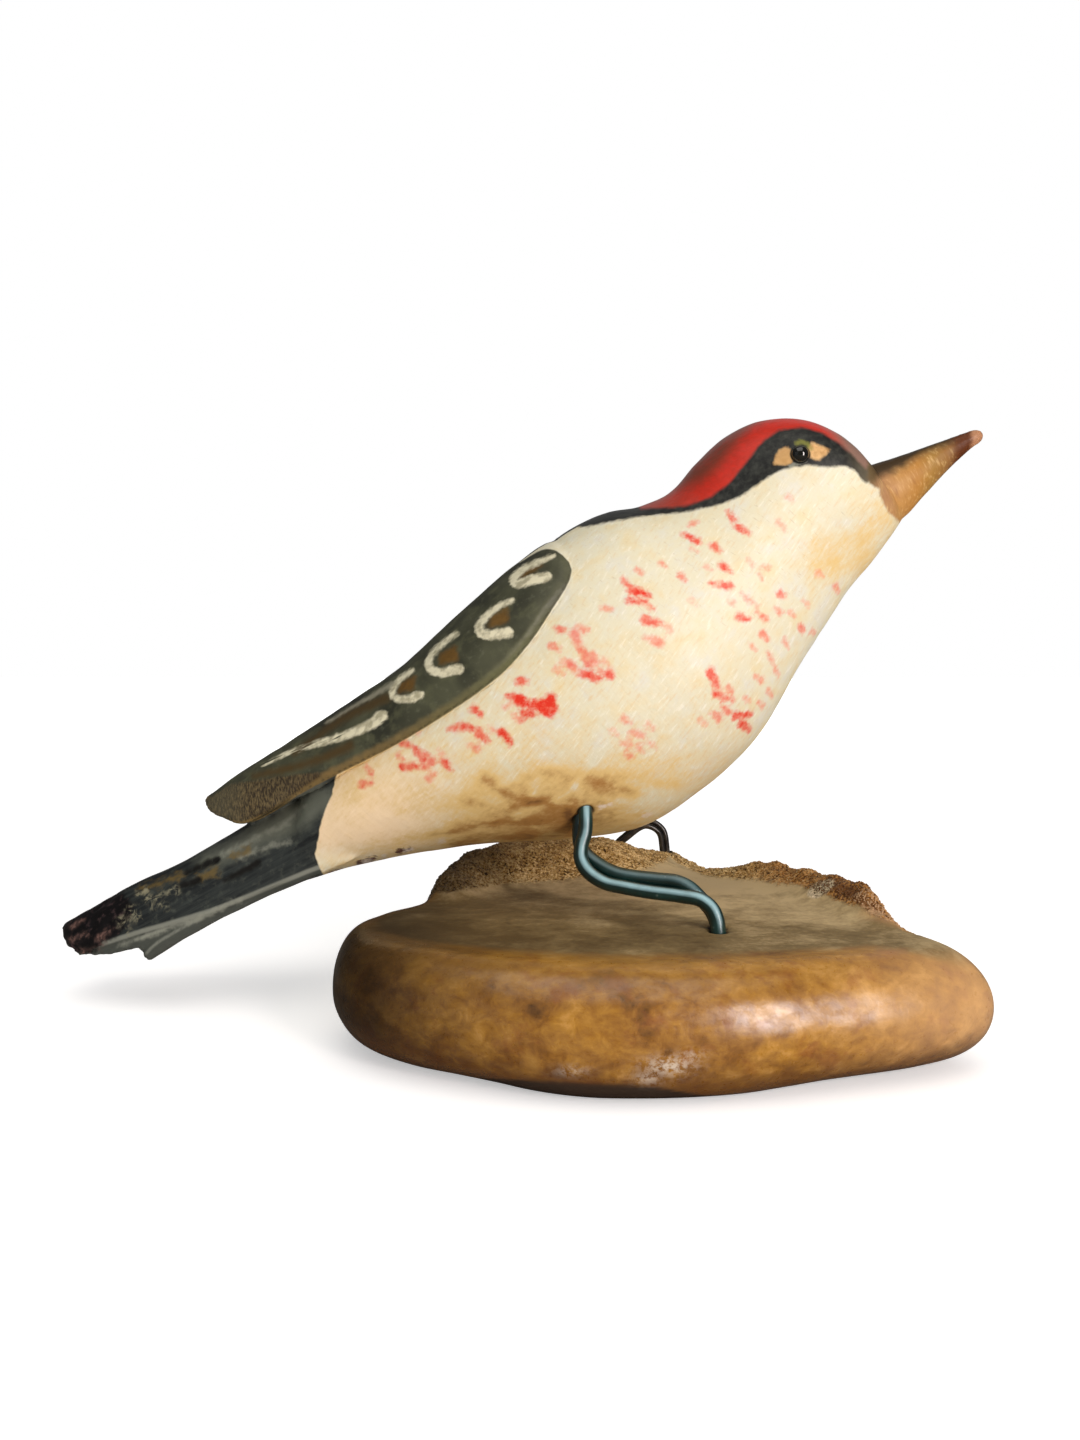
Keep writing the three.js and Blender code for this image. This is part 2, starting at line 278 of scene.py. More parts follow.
def noiseSum(points, parts):  # size, seed and power of each noise
    return sum(power * softNoise(points, size, seed) for size, seed, power in parts)


def easeStep(low, high, value):
    share = np.clip((value - low) / (high - low), 0, 1)
    return share * share * (3 - 2 * share)


def toSegment(u, v, start, end):  # distance to a segment and share along it
    run = np.array(end, float) - np.array(start, float)
    share = ((u - start[0]) * run[0] + (v - start[1]) * run[1]) / max(run @ run, 1e-9)
    share = np.clip(share, 0, 1)
    return np.hypot(u - start[0] - share * run[0], v - start[1] - share * run[1]), share


def insideOutline(u, v, outline):  # distance inside a closed outline, negative outside it
    nearest = np.full(u.shape, np.inf)
    inside = np.zeros(u.shape, bool)
    for start, end in zip(outline, [*outline[1:], outline[0]]):
        nearest = np.minimum(nearest, toSegment(u, v, start, end)[0])
        crosses = (start[1] > v) != (end[1] > v)
        fall = end[1] - start[1]
        at = start[0] + (v - start[1]) * (end[0] - start[0]) / (fall if abs(fall) > 1e-9 else 1e-9)
        inside ^= crosses & (u < at)
    return np.where(inside, nearest, -nearest)


def insideStroke(u, v, line, wide, wideEnd=None):  # distance inside a brush stroke along a line
    wideEnd = wide if wideEnd is None else wideEnd
    points = curveThrough(line, np.linspace(0, 1, 6 * len(line))) if len(line) > 2 else np.array(line, float)
    best = np.full(u.shape, -np.inf)
    spans = len(points) - 1
    for at in range(spans):
        gap, share = toSegment(u, v, points[at], points[at + 1])
        half = (wide + (wideEnd - wide) * (at + share) / spans) / 2
        best = np.maximum(best, half - gap)
    return best


def alongRun(points, start, end):  # distance to a run in space and share along it
    run = np.subtract(end, start)
    share = np.clip((points - start) @ run / max(run @ run, 1e-12), 0, 1)
    return np.linalg.norm(points - start - share[:, None] * run, axis=1), share


def routeGap(points, route):
    return np.min([alongRun(points, start, end)[0] for start, end in zip(route[:-1], route[1:])], 0)


# Node helpers: the shader ones find their tree from the sockets that they are given
def addNode(tree, kind, links=None, **settings):
    node = tree.nodes.new(kind)
    for name, value in settings.items():
        setattr(node, name, value)
    for key, value in (links or {}).items():
        if isinstance(value, bpy.types.NodeSocket):
            tree.links.new(value, node.inputs[key])
        else:
            node.inputs[key].default_value = value
    return node


def newTree(name, sockets):
    tree = bpy.data.node_groups.new(name, "GeometryNodeTree")
    tree.interface.new_socket("Geometry", in_out="INPUT", socket_type="NodeSocketGeometry")
    for label, value in sockets.items():
        tree.interface.new_socket(label, in_out="INPUT", socket_type="NodeSocketFloat").default_value = value
    tree.interface.new_socket("Geometry", in_out="OUTPUT", socket_type="NodeSocketGeometry")
    return tree


def endTree(tree, geometry, material):
    real = addNode(tree, "GeometryNodeRealizeInstances", {"Geometry": geometry}).outputs[0]
    finish = addNode(tree, "GeometryNodeSetMaterial", {"Geometry": real, "Material": material}).outputs[0]
    addNode(tree, "NodeGroupOutput", {"Geometry": finish})
    return tree


def applyTree(item, tree, values):
    step = item.modifiers.new(tree.name, "NODES")
    step.node_group = tree
    for entry in tree.interface.items_tree:
        if entry.in_out == "INPUT" and entry.name in values:
            step[entry.identifier] = values[entry.name]
    settle(item)


def tint(code):  # hex colour to the linear values that sockets take
    parts = np.array([int(code[at:at + 2], 16) / 255 for at in (1, 3, 5)])
    linear = np.where(parts <= 0.04045, parts / 12.92, ((parts + 0.055) / 1.055) ** 2.4)
    return (*linear.tolist(), 1.0)


def treeOf(*values):
    return next(value.id_data for value in values if isinstance(value, bpy.types.NodeSocket))


def mathNode(operation, *values, clamp=False):  # works through its values from the first to the last
    tree = treeOf(*values)
    total = values[0]
    for value in values[1:]:
        node = addNode(tree, "ShaderNodeMath", {0: total, 1: value}, operation=operation, use_clamp=clamp)
        total = node.outputs[0]
    return total


def plus(*values, clamp=False):
    return mathNode("ADD", *values, clamp=clamp)


def times(*values, clamp=False):
    return mathNode("MULTIPLY", *values, clamp=clamp)


def minus(first, second):
    return mathNode("SUBTRACT", first, second)


def most(*values):
    return mathNode("MAXIMUM", *values)


def sway(noise, reach):  # the swing of a noise about its middle
    return times(minus(noise, 0.5), reach)


def fade(value, low, high, full=1.0, rest=0.0):  # eased from rest at low to full at high
    links = {0: value, 1: low, 2: high, 3: rest, 4: full}
    return addNode(treeOf(value), "ShaderNodeMapRange", links, interpolation_type="SMOOTHSTEP").outputs[0]


def mixNode(share, low, high, blend="MIX"):
    links = {0: share}
    for key, value in ((6, low), (7, high)):
        links[key] = tint(value) if isinstance(value, str) else value
    mix = addNode(treeOf(share, low, high), "ShaderNodeMix", links, data_type="RGBA", blend_type=blend)
    return mix.outputs[2]


def coats(colour, *layers):  # lays coats over a ground colour, each by its share
    for share, over in layers:
        colour = mixNode(share, colour, over)
    return colour


def rampNode(value, stops):
    node = addNode(treeOf(value), "ShaderNodeValToRGB", {0: value})
    ramp = node.color_ramp
    while len(ramp.elements) < len(stops):
        ramp.elements.new(0.5)
    for element, (place, code) in zip(ramp.elements, stops):
        element.position = place
        element.color = tint(code)
    return node.outputs[0]


def layerOf(tree, name):
    return addNode(tree, "ShaderNodeAttribute", attribute_name=name).outputs["Fac"]


def placeOf(tree):
    return addNode(tree, "ShaderNodeTexCoord").outputs["Object"]


def axesOf(tree):
    return addNode(tree, "ShaderNodeSeparateXYZ", {0: placeOf(tree)}).outputs


def noiseNode(tree, size, detail=3.0, stretch=(1, 1, 1), turn=(0, 0, 0), distortion=0.0, rough=0.5):
    moved = addNode(tree, "ShaderNodeMapping", {
        "Vector": placeOf(tree), "Scale": stretch, "Rotation": turn})
    noise = addNode(tree, "ShaderNodeTexNoise", {
        "Vector": moved.outputs[0], "Scale": 1 / (size * mm), "Detail": detail, "Roughness": rough,
        "Distortion": distortion})
    return noise.outputs[0]


def newMaterial(name, roughness, coat=0.0, coatRoughness=0.2):
    material = bpy.data.materials.new(name)
    material.use_nodes = True
    shader = material.node_tree.nodes["Principled BSDF"]
    shader.inputs["Roughness"].default_value = roughness
    shader.inputs["Coat Weight"].default_value = coat
    shader.inputs["Coat Roughness"].default_value = coatRoughness
    return material, material.node_tree, shader


def feed(node, name, value):
    node.id_data.links.new(value, node.inputs[name])


def bump(shader, height, distance):
    links = {"Height": height, "Distance": distance * mm, "Strength": 1.0}
    feed(shader, "Normal", addNode(shader.id_data, "ShaderNodeBump", links).outputs[0])


# Shared effects, made once as shader groups
groups = {}


def newGroup(name, inputs, output):
    tree = bpy.data.node_groups.new(name, "ShaderNodeTree")
    for label, value in inputs.items():
        kind = "NodeSocketVector" if isinstance(value, tuple) else "NodeSocketFloat"
        tree.interface.new_socket(label, in_out="INPUT", socket_type=kind).default_value = value
    tree.interface.new_socket(output, in_out="OUTPUT", socket_type="NodeSocketFloat")
    given = addNode(tree, "NodeGroupInput").outputs
    return tree, given, placeOf(tree), mathNode("DIVIDE", 1 / mm, given["Size"])


def makePaintEdge():  # turns a distance inside an outline into a brushed mask
    tree, given, place, scale = newGroup(
        "paint edge", {"Distance": 0.0, "Softness": 0.12, "Wobble": 0.2, "Size": 1.0}, "Mask")
    noise = addNode(tree, "ShaderNodeTexNoise", {"Vector": place, "Scale": scale, "Detail": 3.0}).outputs[0]
    moved = plus(given["Distance"], times(sway(noise, given["Wobble"]), 2.0))
    mask = fade(moved, times(given["Softness"], -1.0), given["Softness"])
    addNode(tree, "NodeGroupOutput", {"Mask": mask})
    return tree


def makeStreaks():  # long brush or fibre streaks along one direction
    inputs = {"Size": 1.0, "Stretch": (0.12, 1.0, 1.0), "Turn": (0.0, 0.0, 0.0), "Contrast": 1.0}
    tree, given, place, scale = newGroup("streaks", inputs, "Value")
    moved = addNode(tree, "ShaderNodeVectorRotate", {"Vector": place, "Rotation": given["Turn"]},
                    rotation_type="EULER_XYZ").outputs[0]
    drawn = addNode(tree, "ShaderNodeVectorMath", {0: moved, 1: given["Stretch"]},
                    operation="MULTIPLY").outputs[0]
    noise = addNode(tree, "ShaderNodeTexNoise", {
        "Vector": drawn, "Scale": scale, "Detail": 4.0, "Roughness": 0.6, "Distortion": 0.2}).outputs[0]
    addNode(tree, "NodeGroupOutput", {"Value": plus(sway(noise, given["Contrast"]), 0.5, clamp=True)})
    return tree


def makeSpecks():  # small scattered spots: pores, dust and paint chips
    tree, given, place, scale = newGroup("specks", {"Size": 1.0, "Cover": 0.15, "Softness": 0.06}, "Mask")
    cells = addNode(tree, "ShaderNodeTexVoronoi", {"Vector": place, "Scale": scale}).outputs["Distance"]
    noise = addNode(tree, "ShaderNodeTexNoise", {"Vector": place, "Scale": scale, "Detail": 2.0}).outputs[0]
    start = plus(given["Cover"], 0.2)
    mask = fade(plus(cells, times(noise, 0.5)), plus(start, given["Softness"]), start)
    addNode(tree, "NodeGroupOutput", {"Mask": mask})
    return tree


def useGroup(tree, name, values):
    return addNode(tree, "ShaderNodeGroup", values, node_tree=groups[name]).outputs[0]


def streaks(tree, size, stretch, turn, contrast):
    return useGroup(tree, "streaks", {"Size": size, "Stretch": stretch, "Turn": turn, "Contrast": contrast})


def specks(tree, size, cover):
    return useGroup(tree, "specks", {"Size": size, "Cover": cover})


# Stage and light
studio = {
    "floor": "#fafafa",
    "floorRoughness": 0.9,
    "floorReach": 3.0,
    "floorFade": (0.12, 0.6),  # how far off the floor starts and ends to turn as pale as the backdrop
    "floorLift": 0.42,  # the floor near the bird
    "floorFar": 1.1,  # the floor far off
    "floorGloss": "#6f6a64",  # how dark the floor mirrors in the varnish
    "world": "#ffffff",
    "worldPower": 0.48,
    "glossPower": 0.07,  # what glossy surfaces see between the lights
    "backdropPower": 1.0,
    "aim": (0.0, 0.0, 0.045),
    "lights": [
        # name, place, width and height, power, tint
        ("overhead", (-0.02, -0.20, 0.62), (0.55, 0.55), 1.1, "#fffaf2"),
        ("window", (0.335, -0.48, 0.135), (0.12, 0.42), 2.7, "#fff2ee"),
        ("fill", (-0.50, -0.40, 0.22), (0.50, 0.50), 0.12, "#f4f8ff"),
        ("behind", (0.10, 0.50, 0.46), (0.50, 0.50), 0.2, "#ffffff"),
    ],
}


def makeStudio():
    world = bpy.data.worlds.new("studio")
    world.use_nodes = True
    sky = world.node_tree.nodes["Background"]
    sky.inputs["Color"].default_value = tint(studio["world"])
    rays = addNode(world.node_tree, "ShaderNodeLightPath").outputs
    strength = studio["worldPower"]
    for kind, wanted in (("Is Camera Ray", "backdropPower"), ("Is Glossy Ray", "glossPower")):
        strength = plus(strength, times(rays[kind], studio[wanted] - studio["worldPower"]))
    feed(sky, "Strength", strength)
    scene.world = world
    scene.view_settings.view_transform = "Standard"
    for name, place, size, power, colour in studio["lights"]:
        lamp = bpy.data.lights.new(name, "AREA")
        lamp.shape = "RECTANGLE"
        lamp.size, lamp.size_y = size
        lamp.energy = power
        lamp.color = tint(colour)[:3]
        aim = Vector(studio["aim"]) - Vector(place)
        addItem(name, lamp, place).rotation_euler = aim.to_track_quat("-Z", "Y").to_euler()
    makeFloor()


def makeFloor():
    reach = studio["floorReach"]
    corners = [[-reach, -reach, 0], [reach, -reach, 0], [reach, reach, 0], [-reach, reach, 0]]
    floor = meshItem("floor", corners, [[0, 1, 2, 3]])
    paper, tree, shader = newMaterial("floor", studio["floorRoughness"])
    shader.inputs["Emission Color"].default_value = tint(studio["floor"])
    rays = addNode(tree, "ShaderNodeLightPath").outputs
    feed(shader, "Base Color", mixNode(rays["Is Glossy Ray"], studio["floor"], studio["floorGloss"]))
    away = addNode(tree, "ShaderNodeVectorMath", {0: placeOf(tree)}, operation="LENGTH").outputs["Value"]
    rise = fade(away, *studio["floorFade"], studio["floorFar"], studio["floorLift"])
    feed(shader, "Emission Strength", times(rays["Is Camera Ray"], rise))
    floor.data.materials.append(paper)


# Bird form: stations are back point, belly point, half width, height of the widest level
bird = {
    # rows, sides and fullness of each loft
    "bodyLoft": (260, 240, 2.1),
    "beakLoft": (80, 96, 2),
    "wingLoft": (200, 240, 2.15),
    "tailLoft": (160, 160),
    "wingEdgeCount": 160,
    "plateReach": 30,
    "voxel": 0.465,
    "smoothing": 4,
    "sanding": 0.5,
    "bevel": 1.35,  # width of the sloping rim round the wing
    "bevelFloor": 0.10,
    "bevelFrom": -0.5,  # points further outside the wing's edge stay as they are
    "bevelEased": -0.3,  # where the slope starts
    "bevelFree": (-40, -33),  # the bevel dies out towards the wing tips
    "toolMarks": [(0.006, 5, 0.07)],
    "woodGrain": [(0.0022, 9, 0.05)],
    # where the rump is rubbed into the tail, how often and how hard
    "rumpFront": (-27, -33),
    "rumpBack": (-45, -39),
    "rumpBelowWing": -0.8,
    "rumpRounds": 42,
    "rumpPull": 0.6,
    "body": [
        ([-36.0, 35.0], [-38.0, 17.8], 8.6, 0.48), ([-29.5, 42.0], [-30.0, 20.4], 11.6, 0.48),
        ([-20.4, 50.6], [-20.0, 22.6], 15.0, 0.48), ([-11.2, 58.2], [-9.0, 24.3], 17.6, 0.47),
        ([-3.4, 65.4], [4.0, 25.0], 19.0, 0.46), ([2.5, 71.8], [16.2, 27.1], 19.2, 0.46),
        ([9.6, 75.6], [26.2, 33.6], 18.2, 0.47), ([15.2, 76.7], [33.8, 41.0], 16.4, 0.5),
        ([20.0, 78.9], [40.2, 51.8], 14.4, 0.52), ([24.0, 83.2], [45.0, 59.4], 13.2, 0.55),
        ([28.2, 87.1], [48.5, 64.7], 12.6, 0.57), ([33.4, 89.6], [51.3, 68.0], 12.2, 0.58),
        ([39.3, 89.8], [53.2, 70.6], 11.2, 0.56), ([44.2, 87.9], [54.5, 72.4], 9.4, 0.54),
        ([47.3, 84.9], [55.4, 73.7], 7.0, 0.52), ([48.9, 82.4], [56.0, 74.6], 4.8, 0.5),
    ],
    "beak": [
        ([46.0, 81.6], [52.4, 72.9], 4.6, 0.5), ([51.2, 83.2], [56.5, 75.1], 4.4, 0.5),
        ([56.4, 84.9], [60.1, 79.0], 3.3, 0.5), ([61.4, 86.6], [63.6, 82.7], 2.2, 0.5),
        ([65.6, 88.1], [66.8, 85.7], 1.35, 0.5), ([67.6, 88.7], [68.2, 86.7], 1.1, 0.5),
        ([68.6, 88.2], [68.8, 87.4], 0.5, 0.5),
    ],
    "wings": [
        ([-52.9, 31.4], [-51.9, 26.5], 3.6, 0.5), ([-51.0, 32.6], [-48.8, 23.5], 5.4, 0.5),
        ([-46.8, 35.6], [-43.4, 20.0], 7.6, 0.5), ([-38.0, 41.1], [-35.0, 18.5], 10.6, 0.5),
        ([-30.2, 46.2], [-28.0, 20.0], 13.2, 0.5), ([-21.6, 52.1], [-20.0, 22.3], 16.2, 0.49),
        ([-12.6, 60.2], [-9.0, 23.5], 18.8, 0.47), ([-4.6, 67.2], [4.0, 24.0], 20.2, 0.46),
        ([1.4, 71.4], [16.5, 25.6], 20.4, 0.46), ([8.6, 74.4], [26.6, 32.4], 19.4, 0.47),
    ],
    "tail": [
        ([-26.0, 38.2], 10.0, 6.4), ([-34.0, 34.6], 13.2, 8.8), ([-42.0, 29.8], 12.6, 9.4),
        ([-50.0, 24.9], 11.6, 9.5), ([-57.0, 20.9], 11.4, 9.6), ([-64.5, 17.5], 11.8, 9.6),
        ([-70.0, 14.4], 10.4, 8.4), ([-74.2, 12.0], 7.0, 5.6), ([-76.0, 11.0], 4.0, 2.6),
    ],
    # slope, and the roundness of its crown, belly and sides
    "tailShape": (np.arctan2(25.8, 44.5), 1.25, 0.06, 0.9),
    "wingEdge": [
        (-3, 75), (2.2, 71.4), (4.0, 68.0), (4.0, 64.6), (1.1, 59.7), (-1.5, 55.8), (-4.9, 51.9),
        (-8.7, 48.8), (-14.2, 45.1), (-20.1, 41.5), (-25.4, 38.7), (-30.4, 36.2), (-36.0, 33.2),
        (-40.7, 30.2), (-44.9, 28.2), (-48.4, 28.9), (-51.2, 29.9), (-52.8, 31.8),
    ],
    "aboveWings": [(-56, 40), (-30, 62), (-8, 82)],
    "tailEdge": [
        (-24, 19), (-33.6, 20.2), (-42, 16.9), (-48, 14.1), (-54.1, 10.7), (-58.9, 7.6), (-60.6, 9.6),
        (-66, 8.1), (-71.2, 7.4), (-74, 8.6), (-78, 10.5), (-78, 20), (-40, 44), (-24, 44),
    ],
    "parting": [(-44, 0), (-60, 1.6), (-60, -1.6)],
    "partingHeights": (20, 50),
}


def wingEdge():
    return curveThrough(bird["wingEdge"], np.linspace(0, 1, bird["wingEdgeCount"])).tolist()


def makeBirdForm():
    outline = wingEdge() + bird["aboveWings"]
    body = loftItem("carved_bird", eggRings(bird["body"], *bird["bodyLoft"]))
    bodySurface = surfaceOf(body)
    beak = loftItem("beak", eggRings(bird["beak"], *bird["beakLoft"]))
    wing = loftItem("wings", eggRings(bird["wings"], *bird["wingLoft"]))
    carve(wing, sidePlate("wing_plate", outline, bird["plateReach"]), "INTERSECT")
    wedge = [[x * mm, y * mm, z * mm] for z in bird["partingHeights"] for x, y in bird["parting"]]
    sides = [[0, 1, 4, 3], [1, 2, 5, 4], [2, 0, 3, 5], [2, 1, 0], [3, 4, 5]]
    carve(wing, closedItem("parting", wedge, sides), "DIFFERENCE")
    tail = loftItem("tail", archRings(bird["tail"], *bird["tailLoft"], *bird["tailShape"]))
    carve(tail, sidePlate("tail_plate", bird["tailEdge"], bird["plateReach"]), "INTERSECT")
    for part in (beak, tail, wing):
        carve(body, part, "UNION")
    remesh = body.modifiers.new("even", "REMESH")
    remesh.mode = "VOXEL"
    remesh.voxel_size = bird["voxel"] * mm
    settle(body)
    smooth = body.modifiers.new("sand", "SMOOTH")
    smooth.factor = bird["sanding"]
    smooth.iterations = bird["smoothing"]
    settle(body)
    blendRump(body, outline)
    shapeBird(body, bodySurface, outline)
    return body


def blendRump(item, wingOutline):  # rubs the join of rump and tail into one surface
    points = pointsOf(item)
    count = len(points)
    ends = np.zeros(len(item.data.edges) * 2, np.int32)
    item.data.edges.foreach_get("vertices", ends)
    first, second = ends.reshape(-1, 2).T
    mates = np.bincount(first, minlength=count) + np.bincount(second, minlength=count)
    x = points[:, 0] / mm
    below = insideOutline(x, points[:, 2] / mm, wingOutline) < bird["rumpBelowWing"]
    share = (easeStep(*bird["rumpBack"], x) * easeStep(*bird["rumpFront"], x) * below)[:, None]
    for _ in range(bird["rumpRounds"]):
        total = np.zeros_like(points)
        for here, there in ((first, second), (second, first)):
            for axis in range(3):
                total[:, axis] += np.bincount(here, points[there, axis], count)
        points = points + (total / mates[:, None] - points) * share * bird["rumpPull"]
    setPoints(item, points)


# Feather and tool work on the tail, as pixel places in the photograph
tailWork = {
    "ridge": [(322, 866), (306, 872), (270, 887), (241, 899), (213, 910), (174, 922), (142, 931), (92, 947)],
    "quills": [
        [(225, 905), (213, 912), (184, 927), (157, 943), (146, 954)],
        [(216, 908), (201, 916), (169, 927), (135, 940)],
    ],
    "gouges": [((218, 859), (186, 873)), ((198, 880), (178, 887)), ((258, 863), (224, 881))],
    "tip": [(56, 925), (96, 898), (124, 893), (134, 908), (124, 931), (108, 941), (88, 956), (66, 948)],
    # depths, and the spans over which each form rises and falls, in millimetres
    "start": (-36, -41),
    "belowWing": -0.3,
    "sideways": (0.15, 0.5),  # how far a face turns to the side
    "step": 0.5,
    "stepRise": (0.0, 0.5),
    "stepFall": (4.5, 1.0),
    "ridgeRise": 0.14,
    "ridgeMiddle": -0.25,
    "ridgeWidth": 0.35,
    "quillRise": 0.22,
    "quillWidth": 3,  # pixels
    "quillEdge": (-0.6, 0.2),
    "gougeDepth": 0.4,
    "gougeWidths": (6, 4),  # pixels at its start and end
    "gougeEdge": (-0.4, 0.5),
    "tipEdge": (-1.0, 1.0),
    "chipDepth": 0.3,
    "chipNoise": (0.0013, 3),  # size in metres, and seed
    "chipCover": 0.2,
}


def belowRidge(u, v):  # millimetres below the tail's ridge line
    ridge = np.array(sorted(tailWork["ridge"]))
    return (v - np.interp(u, ridge[:, 0], ridge[:, 1])) * pixelSize


def shapeBird(item, bodySurface, wingOutline):
    points = pointsOf(item)
    side = insideOutline(points[:, 0] / mm, points[:, 2] / mm, wingOutline)
    free = easeStep(*bird["bevelFree"], points[:, 0] / mm)
    for at in np.nonzero((side > bird["bevelFrom"]) & (side < bird["bevel"]) & (free > 0))[0]:
        foot = np.array(bodySurface.find_nearest(Vector(points[at]))[0])
        rise = easeStep(bird["bevelEased"], bird["bevel"], side[at])
        share = bird["bevelFloor"] + (1 - bird["bevelFloor"]) * rise
        share = 1 - (1 - share) * free[at]
        points[at] = foot + (points[at] - foot) * share
    setPoints(item, points)
    normals = normalsOf(item)
    u, v = nearPixelOf(points)
    onTail = easeStep(*tailWork["start"], points[:, 0] / mm) * (side < tailWork["belowWing"])
    sideways = easeStep(*tailWork["sideways"], np.abs(normals[:, 1]))
    below = belowRidge(u, v)
    feather = -tailWork["step"] * easeStep(*tailWork["stepRise"], below)
    feather *= easeStep(*tailWork["stepFall"], below)
    ridge = (below - tailWork["ridgeMiddle"]) / tailWork["ridgeWidth"]
    feather += tailWork["ridgeRise"] * np.exp(-ridge ** 2)
    for line in tailWork["quills"]:
        inside = insideStroke(u, v, line, tailWork["quillWidth"]) * pixelSize
        feather += tailWork["quillRise"] * easeStep(*tailWork["quillEdge"], inside)
    push = feather * onTail * sideways
    for ends in tailWork["gouges"]:
        inside = insideStroke(u, v, ends, *tailWork["gougeWidths"]) * pixelSize
        push -= tailWork["gougeDepth"] * easeStep(*tailWork["gougeEdge"], inside) * onTail
    tip = easeStep(*tailWork["tipEdge"], insideOutline(u, v, tailWork["tip"]) * pixelSize)
    chips = np.maximum(0, softNoise(points, *tailWork["chipNoise"]) + tailWork["chipCover"])
    push -= tailWork["chipDepth"] * tip * chips
    push += noiseSum(points, bird["toolMarks"]) * (1 - onTail) + noiseSum(points, bird["woodGrain"])
    setPoints(item, points + normals * push[:, None] * mm)


# Paint on the bird, as pixel places in the photograph
paintPlaces = {
    "cap": [
        (641, 509), (664, 508), (686, 506), (711, 497), (728, 484), (742, 467), (753, 453), (765, 439),
        (779, 430), (801, 427), (821, 432), (838, 442), (852, 455), (866, 469), (880, 455), (880, 380),
        (560, 380), (632, 497),
    ],
    "mask": [
        (586, 527), (615, 521), (644, 516), (686, 512), (717, 505), (740, 497), (754, 487), (768, 477),
        (784, 469), (807, 465), (829, 467), (846, 466), (854, 470), (866, 484), (880, 470), (880, 380),
        (560, 380), (574, 527),
    ],
    "bill": [
        (868, 466), (868, 483), (878, 488), (882, 499), (888, 512), (898, 521), (905, 530), (1010, 470),
        (1010, 400), (868, 450),
    ],
    "eyeFront": [(811, 442), (821, 445.5), (829.5, 450), (826, 455), (818, 460.5), (810, 457.5), (805, 455)],
    "eyeRear": [
        (773, 464), (775.5, 456.5), (780, 449), (788, 447), (792.5, 453), (793, 458), (791.5, 463),
        (783, 465),
    ],
    "tail": [
        (340, 764), (337, 771), (332, 795), (325.5, 809), (321.5, 820), (318, 839), (315, 855), (318, 864),
        (323, 874), (330, 886), (250, 960), (0, 1010), (0, 860), (180, 800), (250, 760), (320, 740),
    ],
    "wingTip": [
        (203, 801), (231, 784), (255, 781), (276, 777), (318, 772), (322, 775), (302, 789), (268, 813),
        (242, 822), (222, 819), (207, 809),
    ],
    "billTop": [
        (850, 440), (866, 486), (881, 477), (894, 472), (908, 464), (919, 457), (934, 449), (955, 443),
        (1010, 420), (1010, 380),
    ],
    "charred": tailWork["tip"],
}
wingFront = [  # the paint rounds the upper front corner
    (519, 400), (519, 563), (530, 556), (537, 552), (543, 549.5), (549, 548.8), (556, 550.5), (563, 555.5),
    (569, 562), (571.5, 569), (640, 640), (640, 1000), (0, 1000), (0, 400),
]
rustPlaces = [
    [(541, 564.5), (531, 572), (520, 577), (524, 570)],
    [(507, 609), (507, 621), (500, 624), (489, 626), (492, 618)],
    [(455, 647), (457, 660), (440, 663), (441, 655)], [(414, 677), (412, 689), (399, 692), (402, 684)],
]
